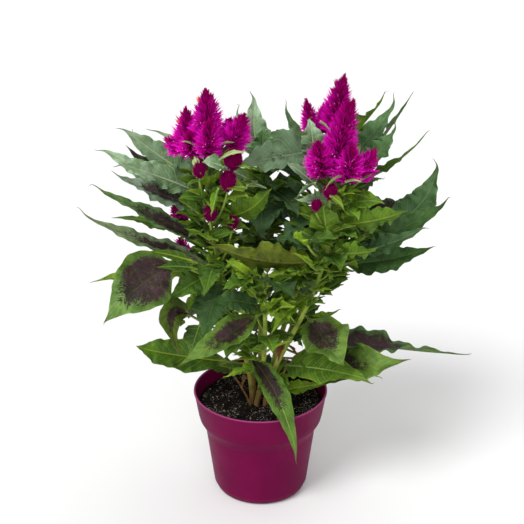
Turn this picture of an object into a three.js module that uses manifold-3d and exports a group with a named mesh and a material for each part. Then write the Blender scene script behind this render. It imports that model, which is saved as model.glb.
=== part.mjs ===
// A plume celosia growing in a 12 cm plastic pot.
// Millimetres, Z up. The pot stands on z = 0 and its axis is the Z axis; the plant's front faces -Y.
import * as THREE from "three";
import { mergeVertices } from "three/addons/utils/BufferGeometryUtils.js";
import Module from "manifold-3d";

const wasm = await Module();
wasm.setup();

// ------------------------------------------------------------------ sizes, mm
const GAP = 0.3; // clear space between two pieces that touch
const SOIL_TOP = 86;
const ROOT_DEPTH = 24; // how far a stem reaches down into the soil
const STEM_SIDES = 6;
const TWIG_SIDES = 5;
const BLADE_THICKNESS = 1.5; // at the midrib; a blade thins out to its edge
const PETIOLE = 1.3; // half-width of a leaf stalk
const FOLD = 18; // degrees each half of a blade rises from the midrib

const POT_SEGMENTS = 24;
const POT_PROFILE = [
  // under the base: a flat pad in the middle, the foot ring, then up the outside
  [0, 0],
  [11, 0],
  [12, 2],
  [33.5, 2],
  [34.5, 0],
  [36.5, 0],
  [39.8, 1.5],
  [42.5, 7],
  [49.4, 60],
  [50.8, 64],
  [54.8, 71],
  [56, 76],
  [59.3, 95.8],
  // lip
  [60, 96.6],
  [59.7, 98],
  [58.6, 98],
  [58, 97.2],
  // down the inside and over the base
  [54.5, 76.4],
  [48.9, 64.4],
  [47.9, 60.2],
  [41, 7.6],
  [38.6, 3.8],
  [0, 3.8],
];
const DRAIN = { count: 6, ring: 27, radius: 4.5, sides: 10 };
const FOOT_NOTCH = { count: 4, width: 22, height: 1.6, turn: 5 };

// ---------------------------------------------------------------- the plant
// A stem stands at [x, y] in the soil, bends at two control points and ends at its top.
// A twig leaves its stem at a height and ends at its tip.
// A leaf row: [shoot, height, tip x, y, z, width, arch, bow, roll, twist, reach]
//   shoot 0 is the stem, 1, 2 ... its twigs; height is where the leaf leaves it
//   arch, bow and reach move the middle of the midrib up, sideways and along
//   roll and twist, in degrees, turn the blade about its midrib
const STEMS = {
  leafy_stem_left: {
    foot: [-7.5, -3],
    bend: [
      [-8, -8, 150],
      [-44, -20, 215],
    ],
    top: [-44, -20, 311],
    twigs: [
      [286, -22, -38, 317],
      [262, -26, -43, 301],
      [272, -49, -39, 310],
      [232, -41, -36, 273],
      [226, -23, -35, 265],
      [214, -65, -38, 236],
      [160, -52, -34, 182],
    ],
    shoots: { from: 150, to: 288, count: 8, first: 60 },
    leaves: [
      [0, 288, -118, -36, 323, 23, 4, 0, -50, 20, 0],
      [0, 276, -117, -52, 319, 24, -4, 0, -40, 0, 0],
      [0, 240, -141, -20, 298, 15, 6, 8, -45, 20, 0],
      [0, 224, -153, -30, 279, 13, -5, 0, -50, 0, 0],
      [6, 236, -129, -58, 188, 50, 23, 5, -60, 0, 4],
      [7, 182, -67, -48, 154, 26, 72, -22, -50, -30, 35],
      [0, 201, -72, -24, 181, 18, 8, 0, -30, 0, 0],
      [0, 220, -77, -48, 206, 27, 6, 0, -35, 0, 0],
      [0, 232, -46, -54, 212, 21, 8, 0, 0, 0, 0],
      [0, 214, -48, -46, 162, 34, 14, 0, 0, 0, 0],
      [0, 270, 9, -42, 306, 25, -22, 0, -60, 0, 15],
      [2, 292, -8, -52, 300, 15, 4, 0, 20, 0, 0],
      [0, 290, -36, -50, 286, 14, 4, 0, 0, 0, 0],
      [0, 256, -60, -34, 257, 21, 8, 0, 0, 0, 0],
      [0, 250, -27, -32, 253, 19, 8, 0, 0, 0, 0],
      [0, 255, -7, -28, 262, 17, 8, 0, 0, 0, 0],
      [0, 146, -30, -44, 150, 25, 10, 0, 0, 0, 0],
      [0, 295, -39, -45, 314, 13, 6, 0, 0, 0, 0],
      [0, 155, -7, -34, 147, 19, 8, 0, 0, 0, 0],
      [0, 140, 33, -68, 59, 21, 63, -8, 15, 0, 39],
      [7, 180, -60, -42, 150, 20, 4, 0, -20, 0, 0],
    ],
  },
  leafy_stem_left_back: {
    foot: [-6, 5],
    bend: [
      [-8, 10, 150],
      [-56, 16, 205],
    ],
    top: [-50, 14, 300],
    twigs: [
      [222, -64, -8, 259],
      [205, -65, -7, 232],
    ],
    shoots: { from: 150, to: 290, count: 7, first: 150 },
    leaves: [
      [0, 288, -121, 40, 331, 25, -4, 0, -40, 0, 0],
      [0, 278, -117, 66, 318, 25, 0, 0, -20, 0, 0],
      [0, 272, -137, 10, 323, 24, -6, 0, -45, 0, 0],
      [0, 258, -115, 26, 318, 30, -5, 0, -40, 0, 0],
      [0, 236, -130, 25, 253, 14, 8, 0, -30, 0, 0],
      [0, 204, -149, 5, 199, 21, 12, 0, -30, 0, 0],
      [0, 118, -109, -5, 143, 29, -6, 0, -50, 0, 42],
      [0, 108, -65, 35, 106, 15, 4, 0, -30, 0, 0],
      [0, 276, -72, 90, 286, 36, 14, 0, 0, 0, 0],
      [0, 250, -92, 86, 262, 38, 14, 0, 0, 0, 0],
      [0, 205, -113, 62, 164, 38, 14, 0, 0, 0, 0],
      [0, 190, -62, 96, 188, 42, 16, 0, 0, 0, 0],
      [0, 150, -86, 56, 150, 36, 14, 0, 0, 0, 0],
    ],
  },
  leafy_stem_front: {
    foot: [-3.5, -9],
    bend: [
      [4, -15, 125],
      [5, -42, 170],
    ],
    top: [3, -42, 229],
    twigs: [],
    shoots: { from: 102, to: 224, count: 8, first: 290 },
    leaves: [
      [0, 196, -69, -86, 166, 25, 0, 8, -30, 0, 0],
      [0, 196, -44, -64, 214, 19, 6, 0, -50, 0, 0],
      [0, 222, 28, -76, 220, 32, 8, 0, -10, 0, 0],
      [0, 128, -33, -28, 122, 13, 6, 0, 0, 0, 0],
      [0, 210, -31, -62, 223, 34, 12, 0, 0, 0, 0],
      [0, 186, 19, -60, 215, 19, 8, 0, 0, 0, 0],
      [0, 165, 11, -52, 159, 19, 10, 0, 0, 0, 0],
    ],
  },
  leafy_stem_right: {
    foot: [4.5, -7.5],
    bend: [
      [10, -14, 150],
      [58, -32, 190],
    ],
    top: [63, -28, 303],
    twigs: [
      [262, 55, -48, 296],
      [235, 36, -56, 264],
      [262, 44, -52, 287],
      [262, 45, -18, 314],
    ],
    shoots: { from: 150, to: 290, count: 8, first: 20 },
    leaves: [
      [0, 236, -44, -66, 268, 32, -20, 0, 60, 0, 0],
      [4, 312, 40, 0, 351, 23, 0, 0, 0, 0, 0],
      [0, 286, 19, -26, 320, 13, 8, 0, -30, 0, 0],
      [0, 284, 26, -44, 293, 11, 8, 10, -40, 0, 0],
      [0, 248, 49, -62, 298, 28, 0, 0, 0, 0, 0],
      [2, 262, 62, -70, 270, 18, 4, 0, 10, 0, 0],
      [2, 258, 25, -64, 270, 14, 4, 0, -20, 0, 0],
      [0, 281, 102, -38, 289, 21, 7, 0, 35, 0, 0],
      [0, 268, 119, -52, 289, 30, -8, 0, -60, 0, 0],
      [0, 244, 96, -58, 257, 23, -6, 0, -50, 0, 0],
      [0, 240, 66, -66, 240, 23, 8, 0, 0, 0, 0],
      [0, 184, 70, -66, 154, 45, 0, 0, 10, 0, 6],
      [0, 180, 52, -16, 187, 13, 2, 0, 20, 0, 0],
      [0, 215, 8, -34, 201, 23, 12, 0, 0, 0, 0],
      [0, 228, 40, -52, 238, 17, 8, 0, 0, 0, 0],
      [0, 282, 81, -50, 278, 23, 6, 0, 0, 0, 0],
      [0, 238, 8, -10, 247, 34, 6, 0, 0, 0, 0],
      [0, 255, 80, -50, 263, 19, 6, 0, 0, 0, 0],
      [0, 222, 1, -46, 225, 21, 8, 0, 0, 0, 0],
      [0, 200, 8, -50, 175, 25, 12, 0, 0, 0, 0],
    ],
  },
  leafy_stem_right_side: {
    foot: [9, -1],
    bend: [
      [16, 2, 150],
      [45, 4, 200],
    ],
    top: [92, -2, 252],
    twigs: [],
    shoots: { from: 140, to: 240, count: 7, first: 220 },
    leaves: [
      [0, 219, 148, -14, 241, 27, -9, 0, 45, 0, 0],
      [0, 235, 163, 2, 278, 23, -7, -6, 40, 0, 0],
      [0, 246, 150, 18, 309, 29, -66, 14, 40, 0, 54],
      [0, 230, 140, -22, 264, 19, -9, -8, 40, 0, 0],
      [0, 222, 132, 20, 242, 28, -4, 8, 30, 0, 0],
      [0, 232, 139, 44, 262, 32, 14, 6, 20, 0, 0],
      [0, 156, 185, -14, 139, 29, -12, 6, 50, -90, 0],
      [0, 138, 130, -34, 145, 50, -22, -4, 30, 0, 0],
      [0, 120, 97, -58, 136, 34, 12, -8, 30, 0, 0],
      [0, 128, 107, -24, 119, 13, 10, 0, 0, 0, 0],
      [0, 158, 72, 12, 170, 12, -2, 0, 20, 0, 0],
      [0, 93, 60, -3, 103, 13, 2, 0, 30, 0, 0],
      [0, 99, 26, -8, 128, 13, -4, 0, 0, 0, 0],
      [0, 202, 76, -24, 219, 19, 4, 0, 0, 0, 0],
      [0, 150, 37, -2, 139, 15, 6, 0, 0, 0, 0],
    ],
  },
  leafy_stem_right_back: {
    foot: [7, 5.5],
    bend: [
      [12, 14, 160],
      [58, 26, 220],
    ],
    top: [61, 22, 330],
    twigs: [],
    shoots: { from: 150, to: 290, count: 7, first: 70 },
    leaves: [
      [0, 316, -23, -12, 311, 40, 2, 0, -35, 0, 0],
      [0, 308, 110, 52, 357, 28, -14, 8, -50, 0, 0],
      [0, 288, 124, 82, 346, 25, -12, 0, 10, 0, 0],
      [0, 276, 133, 66, 354, 22, -24, 0, -20, 0, 0],
      [0, 292, 116, 24, 340, 30, -34, 0, 30, 0, 20],
      [0, 284, 146, 42, 326, 13, -30, 0, 0, 0, 0],
      [0, 262, 105, 10, 296, 13, 2, 0, 20, 0, 0],
      [0, 304, 18, 54, 349, 21, -30, 0, -20, 0, 0],
      [0, 272, 62, 122, 300, 36, 14, 0, 0, 0, 0],
      [0, 260, 112, 96, 264, 38, 14, 0, 0, 0, 0],
      [0, 236, 126, 56, 226, 38, 14, 0, 0, 0, 0],
      [0, 205, 82, 102, 200, 42, 16, 0, 0, 0, 0],
      [0, 172, 68, 96, 158, 38, 14, 0, 0, 0, 0],
      [0, 140, 85, 72, 104, 34, 6, 0, 0, 0, 0],
      [0, 258, 17, 2, 235, 34, 6, 0, 0, 0, 0],
      [0, 285, 36, 0, 299, 30, 4, 0, 0, 0, 0],
    ],
  },
  leafy_stem_back: {
    foot: [0.5, 8],
    bend: [
      [-2, 30, 150],
      [4, 52, 215],
    ],
    top: [2, 52, 298],
    twigs: [],
    shoots: { from: 150, to: 280, count: 7, first: 150 },
    leaves: [
      [0, 292, -5, 76, 352, 28, -12, 8, 0, 0, 0],
      [0, 282, -24, 72, 340, 17, -6, 0, 0, 0, 0],
      [0, 256, 0, -10, 244, 40, 16, 0, 0, 0, 0],
      [0, 270, 34, 0, 262, 36, 12, 0, 0, 0, 0],
      [0, 270, -100, 72, 320, 17, 3, 0, -20, 0, 0],
      [0, 274, 20, 132, 300, 38, 16, 0, 0, 0, 0],
      [0, 248, -30, 126, 262, 40, 16, 0, 0, 0, 0],
      [0, 235, 36, 130, 224, 40, 16, 0, 0, 0, 0],
      [0, 205, -24, 126, 194, 42, 16, 0, 0, 0, 0],
      [0, 170, 16, 116, 150, 40, 16, 0, 0, 0, 0],
      [0, 138, -34, 96, 120, 36, 14, 0, 0, 0, 0],
      [0, 274, 39, 12, 277, 34, 8, 0, 0, 0, 0],
      [0, 258, 46, 36, 232, 40, 4, 0, 0, 0, 0],
      [0, 228, -2, -6, 203, 30, 10, 0, 0, 0, 0],
      [0, 276, 36, 36, 294, 36, 14, 0, 0, 0, 0],
      [0, 288, 2, 62, 323, 20, 6, 0, 0, 0, 0],
      [0, 246, -32, 4, 262, 30, 8, 0, 0, 0, 0],
    ],
  },
};

// Each plume stands on a stem or twig.
// A round one is a single young ball of florets.
// A spike: [base x, y, z, apex x, y, z, radius, rows, florets around, bow of its axis towards -X]
const PLUMES = {
  plume_left: {
    on: ["leafy_stem_left", 0],
    spikes: [
      [-45, -19, 332, -44, -15, 377, 18, 8, 7, -2],
      [-42, -34, 329, -40, -40, 359, 13, 4, 6, 0],
      [-60, -14, 327, -60, -9, 360, 13, 5, 6, 0],
      [-64, -12, 325, -77, -8, 334, 10, 4, 6, 0],
      [-24, -18, 330, -13, -15, 356, 15, 5, 7, 0],
      [-56, -26, 327, -56, -34, 347, 12, 4, 6, 0],
      [-28, -12, 330, -24, -9, 351, 12, 4, 6, 0],
    ],
  },
  plume_right: {
    on: ["leafy_stem_right", 0],
    spikes: [
      [63, -29, 315, 74, -30, 373, 20, 8, 8, 4],
      [49, -38, 314, 45, -45, 343, 14, 5, 7, 0],
      [69, -41, 310, 72, -46, 339, 15, 5, 7, 0],
      [79, -27, 307, 93, -20, 328, 12, 4, 7, 0],
    ],
  },
  plume_right_back: {
    on: ["leafy_stem_right_back", 0],
    spikes: [
      [62, 22, 332, 69, 15, 381, 16, 7, 7, 1],
      [44, 28, 328, 38, 30, 356, 10, 4, 6, 0],
      [52, 28, 328, 53, 30, 352, 10, 4, 6, 0],
    ],
  },
  flower_head_left_1: {
    on: ["leafy_stem_left", 1],
    round: true,
    spikes: [[-22, -38, 319, -21, -40, 333, 8, 4, 8, 0]],
  },
  flower_head_left_2: {
    on: ["leafy_stem_left", 2],
    round: true,
    spikes: [[-26, -43, 303, -25, -45, 317, 7, 4, 8, 0]],
  },
  flower_head_left_3: {
    on: ["leafy_stem_left", 3],
    round: true,
    spikes: [[-49, -39, 312, -48, -41, 324, 5, 4, 6, 0]],
  },
  flower_head_left_4: {
    on: ["leafy_stem_left", 4],
    round: true,
    spikes: [[-41, -36, 275, -40, -38, 285, 6, 3, 6, 0]],
  },
  flower_head_left_5: {
    on: ["leafy_stem_left_back", 1],
    spikes: [[-64, -8, 261, -73, -10, 274, 9, 4, 7, 0]],
  },
  flower_head_left_6: {
    on: ["leafy_stem_left_back", 2],
    spikes: [[-65, -7, 234, -68, -8, 246, 8, 4, 7, 0]],
  },
  flower_head_left_7: {
    on: ["leafy_stem_left", 5],
    round: true,
    spikes: [[-23, -35, 267, -22, -37, 276, 5, 3, 6, 0]],
  },
  flower_head_right_1: {
    on: ["leafy_stem_right", 1],
    round: true,
    spikes: [[55, -48, 298, 56, -50, 308, 6, 3, 7, 0]],
  },
  flower_head_right_2: {
    on: ["leafy_stem_right", 3],
    round: true,
    spikes: [[44, -52, 289, 45, -54, 297, 4, 3, 6, 0]],
  },
};

// ------------------------------------------------------------------ helpers
const rad = THREE.MathUtils.degToRad;
const vec = (p) => new THREE.Vector3(...p);

// The same seeded draw every time (mulberry32).
function randomFrom(seed) {
  let state = seed;
  return () => {
    state = (state + 0x6d2b79f5) | 0;
    let t = Math.imul(state ^ (state >>> 15), 1 | state);
    t = (t + Math.imul(t ^ (t >>> 7), 61 | t)) ^ t;
    return ((t ^ (t >>> 14)) >>> 0) / 4294967296;
  };
}

function toSolid(geometry) {
  const positions = new THREE.BufferGeometry().setAttribute("position", geometry.getAttribute("position"));
  positions.setIndex(geometry.getIndex());
  const merged = mergeVertices(positions, 1e-4);
  return new wasm.Manifold(
    new wasm.Mesh({
      numProp: 3,
      vertProperties: new Float32Array(merged.attributes.position.array),
      triVerts: new Uint32Array(merged.index.array),
    }),
  );
}

function toGeometry(solid) {
  const mesh = solid.getMesh();
  const geometry = new THREE.BufferGeometry();
  geometry.setAttribute("position", new THREE.BufferAttribute(new Float32Array(mesh.vertProperties), 3));
  geometry.setIndex(new THREE.BufferAttribute(new Uint32Array(mesh.triVerts), 1));
  geometry.computeVertexNormals();
  return geometry;
}

// Solids joined into one body: what fusing seals is filled and loose scraps are dropped.
function fuse(solids) {
  const bodies = wasm.Manifold.union(solids).decompose();
  return bodies.reduce((best, body) => (body.volume() > best.volume() ? body : best));
}

function geometryOf(points, triangles) {
  const geometry = new THREE.BufferGeometry();
  geometry.setAttribute("position", new THREE.Float32BufferAttribute(points.flatMap((p) => p.toArray()), 3));
  geometry.setIndex(triangles.flat());
  return geometry;
}

// A closed skin over rings of equal count; each ring turns right-handed about the way to the next.
// A tip, where given, closes the last ring; both faces of a thin ring are split alike.
function skin(rings, tip) {
  const n = rings[0].length;
  const points = rings.flat();
  const triangles = [];
  for (let i = 0; i + 1 < rings.length; i++) {
    for (let k = 0; k < n; k++) {
      const a = i * n + k;
      const b = i * n + ((k + 1) % n);
      if (k % 2) triangles.push([a, b, a + n], [b, b + n, a + n]);
      else triangles.push([a, b, b + n], [a, b + n, a + n]);
    }
  }
  for (let k = 2; k < n; k++) triangles.push([0, k, k - 1]);
  const last = points.length - n;
  if (tip) {
    points.push(tip);
    for (let k = 0; k < n; k++) triangles.push([last + k, last + ((k + 1) % n), points.length - 1]);
  } else {
    for (let k = 2; k < n; k++) triangles.push([last, last + k - 1, last + k]);
  }
  return toSolid(geometryOf(points, triangles));
}

// Two unit vectors square to a direction and to each other, right-handed with it.
function crossAxes(direction) {
  const u = new THREE.Vector3(0, 1, 0).cross(direction);
  if (u.lengthSq() < 0.01) u.set(1, 0, 0);
  u.addScaledVector(direction, -u.dot(direction)).normalize();
  return [u, direction.clone().cross(u)];
}

// A tapering round tube along a curve.
function tube(curve, steps, sides, radius) {
  const rings = [];
  for (let i = 0; i <= steps; i++) {
    const t = i / steps;
    const centre = curve.getPoint(t);
    const [u, v] = crossAxes(curve.getTangent(t));
    const ring = [];
    for (let k = 0; k < sides; k++) {
      const a = (2 * Math.PI * k) / sides;
      ring.push(
        centre.clone().addScaledVector(u, radius(t) * Math.cos(a)).addScaledVector(v, radius(t) * Math.sin(a)),
      );
    }
    rings.push(ring);
  }
  return skin(rings);
}

// ------------------------------------------------------------- pot and soil
const SOIL_FLOOR = 4.1;
const STEM_RADIUS = { foot: 2.5, top: 1.5 };
const TWIG_RADIUS = { foot: 1.3, top: 0.9 };

function lathe(profile, segments) {
  const points = profile.map(([r, z]) => new THREE.Vector2(r, z));
  return toSolid(new THREE.LatheGeometry(points, segments).rotateX(Math.PI / 2));
}

function upright(radius, from, to, sides, x, y) {
  const drum = new THREE.CylinderGeometry(radius, radius, to - from, sides).rotateX(Math.PI / 2);
  return toSolid(drum.translate(x, y, (from + to) / 2));
}

function makePot() {
  const cutters = [];
  for (let i = 0; i < DRAIN.count; i++) {
    const a = (2 * Math.PI * i) / DRAIN.count;
    cutters.push(upright(DRAIN.radius, -5, 8, DRAIN.sides, DRAIN.ring * Math.cos(a), DRAIN.ring * Math.sin(a)));
  }
  for (let i = 0; i < FOOT_NOTCH.count; i++) {
    const a = rad(FOOT_NOTCH.turn + (360 * i) / FOOT_NOTCH.count);
    const notch = new THREE.BoxGeometry(20, FOOT_NOTCH.width, 2 * FOOT_NOTCH.height);
    cutters.push(toSolid(notch.translate(42, 0, 0).rotateZ(a)));
  }
  return lathe(POT_PROFILE, POT_SEGMENTS).subtract(wasm.Manifold.union(cutters));
}

// The soil's outside follows the pot's inner wall, GAP clear of it, up to its uneven top.
const SOIL_SIDE = [
  [38.3, SOIL_FLOOR],
  [40.6, 7.8],
  [47.5, 60.3],
  [48.3, 64.6],
  [53.9, 76.8],
];
const SOIL_EDGE = 55;
const SOIL_RINGS = [46, 34, 20];
const SOIL_SEGMENTS = 20;
const STEM_HOLE = 0.4; // clear of the stem, all round

function soilHeight(x, y) {
  return SOIL_TOP + 1.3 * Math.sin(x * 0.21 + 1.2) * Math.cos(y * 0.19) + 0.8 * Math.sin(x * 0.43 - y * 0.37);
}

function makeSoil(stems) {
  const ring = (r, z) => {
    const points = [];
    for (let k = 0; k < SOIL_SEGMENTS; k++) {
      const a = (2 * Math.PI * k) / SOIL_SEGMENTS;
      const x = r * Math.cos(a);
      const y = r * Math.sin(a);
      points.push(new THREE.Vector3(x, y, z ?? soilHeight(x, y)));
    }
    return points;
  };
  const rings = SOIL_SIDE.map(([r, z]) => ring(r, z));
  rings.push(ring(SOIL_EDGE, SOIL_TOP - 2));
  SOIL_RINGS.forEach((r) => rings.push(ring(r)));
  const ground = skin(rings, new THREE.Vector3(0, 0, soilHeight(0, 0)));
  const holes = stems.map(({ x, y, radius, depth }) =>
    upright(radius + STEM_HOLE, SOIL_TOP - depth - GAP, SOIL_TOP + 10, 8, x, y),
  );
  return ground.subtract(wasm.Manifold.union(holes));
}

// -------------------------------------------------------------- leafy stems
const STEM_START = 88; // a stem is upright below this height

// The point of a curve that rises all the way, at a height.
function pointAt(curve, height) {
  let low = 0;
  let high = 1;
  for (let i = 0; i < 30; i++) {
    const t = (low + high) / 2;
    if (curve.getPoint(t).z < height) low = t;
    else high = t;
  }
  return curve.getPoint((low + high) / 2);
}

function stemCurve({ foot, bend, top }) {
  const start = new THREE.Vector3(...foot, STEM_START);
  return new THREE.CubicBezierCurve3(start, vec(bend[0]), vec(bend[1]), vec(top));
}

function twigCurve(stem, [height, ...tip]) {
  const start = pointAt(stem, height);
  const end = vec(tip);
  const middle = start.clone().lerp(end, 0.6);
  middle.z = start.z + 0.3 * (end.z - start.z);
  return new THREE.QuadraticBezierCurve3(start, middle, end);
}

const WIDEST = (0.9 ** 0.9 * 1.7 ** 1.7) / 2.6 ** 2.6; // greatest value of the blade's outline

// Half the width of a blade, s of the way from stalk to tip: broad low down, drawn out to a long point.
function halfWidth(s, width) {
  return PETIOLE * (1 - s) + ((width / 2) * s ** 0.9 * (1 - s) ** 1.7) / WIDEST;
}

const STALK = 0.12; // share of the midrib that is stalk
const WAVE = 0.2; // height of the waves along a margin, of the half-width
const WAVES = 2.6;

// One leaf: a midrib from root to tip, with two halves that rise from it and wave along their margins.
function leaf(root, row, index) {
  const [, , x, y, z, width, arch, bow, roll, twist, reach] = row;
  const tip = new THREE.Vector3(x, y, z);
  const way = new THREE.Vector3(tip.x - root.x, tip.y - root.y, 0);
  if (way.length() < 1) way.set(1, 0, 0);
  way.normalize();
  const side = new THREE.Vector3(-way.y, way.x, 0);
  const chord = tip.clone().sub(root);
  const middle = root.clone().lerp(tip, 0.5).addScaledVector(side, bow);
  middle.addScaledVector(chord.clone().normalize(), reach);
  middle.z += arch;
  const midrib = new THREE.QuadraticBezierCurve3(root, middle, tip);
  const length = midrib.getLength();
  const parts = length > 105 ? 5 : length > 78 ? 4 : length > 44 ? 3 : 2;
  const rings = [];
  for (let i = -1; i < parts; i++) {
    if (i === 0 && parts < 5) continue; // a small leaf's stalk runs straight into its blade
    const s = Math.max(0, i / parts);
    const t = i < 0 ? 0 : STALK + (1 - STALK) * s;
    const centre = midrib.getPoint(t);
    const tangent = midrib.getTangent(t);
    const across = side.clone().addScaledVector(tangent, -side.dot(tangent)).normalize();
    const turn = rad(roll + twist * t);
    const left = across.clone().applyAxisAngle(tangent, turn);
    const up = tangent.clone().cross(left);
    const half = i < 0 ? PETIOLE : halfWidth(s, width);
    const edge = (sign, phase) => {
      const wave = WAVE * half * Math.sin(2 * Math.PI * (WAVES * s + phase)) * (i > 0 ? 1 : 0);
      return centre
        .clone()
        .addScaledVector(left, sign * half * Math.cos(rad(FOLD)))
        .addScaledVector(up, half * Math.sin(rad(FOLD)) + wave);
    };
    const thick = (BLADE_THICKNESS / 2) * (i > 0 ? 1 : 1.4);
    rings.push([
      edge(1, index * 0.37),
      centre.clone().addScaledVector(up, thick),
      edge(-1, index * 0.37 + 0.45),
      centre.clone().addScaledVector(up, -thick),
    ]);
  }
  return skin(rings, tip);
}

// Young leaves up a stem, each a golden angle round from the last.
const GOLDEN_ANGLE = 137.5;
function youngLeaves(stem, { from, to, count, first }, random) {
  const rows = [];
  for (let k = 0; k < count; k++) {
    const height = from + ((to - from) * k) / (count - 1);
    const root = pointAt(stem, height);
    const azimuth = rad(first + k * GOLDEN_ANGLE + 24 * (random() - 0.5));
    const length = 20 + 14 * random();
    const rise = length * (0.1 + 0.5 * random());
    const width = 9 + 4 * random();
    rows.push([
      0,
      height,
      root.x + length * Math.cos(azimuth),
      root.y + length * Math.sin(azimuth),
      root.z + rise,
      width,
      5,
      0,
      0,
      0,
      0,
    ]);
  }
  return rows;
}

function stemSolids(name) {
  const stem = STEMS[name];
  const trunk = stemCurve(stem);
  const shoots = [trunk, ...stem.twigs.map((twig) => twigCurve(trunk, twig))];
  const taper = ({ foot, top }) => (t) => foot + (top - foot) * t;
  const solids = [
    tube(trunk, 6, STEM_SIDES, taper(STEM_RADIUS)),
    upright(STEM_RADIUS.foot, SOIL_TOP - ROOT_DEPTH, STEM_START + 1, STEM_SIDES, ...stem.foot),
  ];
  for (const twig of shoots.slice(1)) solids.push(tube(twig, 3, TWIG_SIDES, taper(TWIG_RADIUS)));
  const random = randomFrom(Object.keys(STEMS).indexOf(name) + 1);
  const rows = [...stem.leaves, ...youngLeaves(trunk, stem.shoots, random)];
  rows.forEach((row, index) => solids.push(leaf(pointAt(shoots[row[0]], row[1]), row, index)));
  return solids;
}

// ------------------------------------------------------------------- plumes
const SPIKE_CORE = 0.66; // of a spike's radius; the florets stand out of this core
const FLORET_LEAN = 0.7; // how far a floret leans up its spike, of its height

// A spike: a tapering core whose every diamond of skin is drawn out into one pointed floret.
function spike([bx, by, bz, ax, ay, az, radius, rows, around, bow], round, random) {
  const base = new THREE.Vector3(bx, by, bz);
  const apex = new THREE.Vector3(ax, ay, az);
  const axis = apex.clone().sub(base);
  const length = axis.length();
  axis.normalize();
  const [u, v] = crossAxes(axis);
  const centre = (t) => {
    const point = base.clone().addScaledVector(axis, t * length);
    point.x -= bow * 4 * t * (1 - t);
    return point;
  };
  const dome = (t) => Math.sqrt(0.15 + 3.4 * t * (1 - t));
  const cone = (t) => Math.min(1, 0.7 + 2 * t) * (1 - t) ** 0.75;
  const outline = (t) => radius * (round ? dome(t) : cone(t));
  const outward = (turn) => u.clone().multiplyScalar(Math.cos(turn)).addScaledVector(v, Math.sin(turn));
  const angle = (row, k) => (2 * Math.PI * (k + (row % 2) / 2)) / around;
  const level = (row) => (0.97 * row) / rows;
  const points = [base];
  const at = (row, k) => 1 + row * around + ((k + around) % around);
  for (let row = 0; row <= rows; row++) {
    for (let k = 0; k < around; k++) {
      const t = level(row);
      points.push(centre(t).addScaledVector(outward(angle(row, k)), SPIKE_CORE * outline(t)));
    }
  }
  points.push(apex);
  const tip = points.length - 1;
  const triangles = [];
  for (let k = 0; k < around; k++) {
    triangles.push([0, at(0, k + 1), at(0, k)]);
    triangles.push([at(0, k), at(0, k + 1), at(1, k)]);
    triangles.push([at(rows, k), at(rows - 1, k + (rows % 2)), at(rows, k + 1)]);
    triangles.push([at(rows, k), at(rows, k + 1), tip]);
  }
  for (let row = 1; row < rows; row++) {
    for (let k = 0; k < around; k++) {
      const between = k + (row % 2);
      const [left, right] = [at(row, k), at(row, k + 1)];
      const [under, over] = [at(row - 1, between), at(row + 1, between)];
      const turn = angle(row, k) + Math.PI / around;
      const t = level(row);
      const height = (1 - SPIKE_CORE) * outline(t) * (0.9 + 0.5 * random()) + 1;
      const point = centre(t)
        .addScaledVector(axis, FLORET_LEAN * height)
        .addScaledVector(outward(turn), SPIKE_CORE * outline(t) + height);
      points.push(point);
      const p = points.length - 1;
      triangles.push([under, right, p], [right, over, p], [over, left, p], [left, under, p]);
    }
  }
  return toSolid(geometryOf(points, triangles));
}

const NECK = 1.6; // radius of the short stalk that carries a head's spikes
const NECK_HEIGHT = 4;
const HEAD_GAP = 0.5; // clear of the slanting end of a shoot

function makePlume(name) {
  const { on, round = false, spikes } = PLUMES[name];
  const stem = STEMS[on[0]];
  const end = on[1] ? vec(stem.twigs[on[1] - 1].slice(1)) : vec(stem.top);
  const foot = end.clone();
  foot.z += HEAD_GAP;
  const hub = foot.clone();
  hub.z += NECK_HEIGHT;
  const random = randomFrom(Object.keys(PLUMES).indexOf(name) + 101);
  const solids = [tube(new THREE.LineCurve3(foot, hub), 1, TWIG_SIDES, () => NECK)];
  spikes.forEach((row) => {
    const base = vec(row.slice(0, 3));
    const inside = base.clone().lerp(vec(row.slice(3, 6)), 0.2);
    solids.push(spike(row, round, random));
    if (spikes.length > 1) solids.push(tube(new THREE.LineCurve3(hub, inside), 1, TWIG_SIDES, () => NECK));
  });
  return fuse(solids);
}

// ---------------------------------------------------------- withered pieces
const WITHERED = { foot: [-9, -14], bend: [-12, -14, 100], top: [-28, -14, 126], radius: 1.1 };
const DRY_STUB = { from: 106, tip: [-14, -17, 119], radius: 2.2 };

function witheredShoot() {
  const { foot, bend, top, radius } = WITHERED;
  const curve = new THREE.QuadraticBezierCurve3(new THREE.Vector3(...foot, STEM_START), vec(bend), vec(top));
  const side = new THREE.LineCurve3(pointAt(curve, DRY_STUB.from), vec(DRY_STUB.tip));
  return fuse([
    tube(curve, 5, TWIG_SIDES, (t) => radius * (1 - 0.4 * t)),
    upright(radius, SOIL_TOP - ROOT_DEPTH / 2, STEM_START + 1, TWIG_SIDES, ...foot),
    tube(side, 3, TWIG_SIDES, (t) => 0.9 + (DRY_STUB.radius - 0.9) * t * t),
  ]);
}

// ------------------------------------------------------------------ the part
const COLOURS = {
  pot: 0x761d4b,
  soil: 0x1e1a18,
  leaf: 0x4f7334,
  plume: 0x9a0563,
  dry: 0x8a6238,
};

function node(name, solid, colour, roughness) {
  const material = new THREE.MeshStandardMaterial({ color: colour, roughness, metalness: 0 });
  const mesh = new THREE.Mesh(toGeometry(solid), material);
  mesh.name = name;
  return mesh;
}

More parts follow.
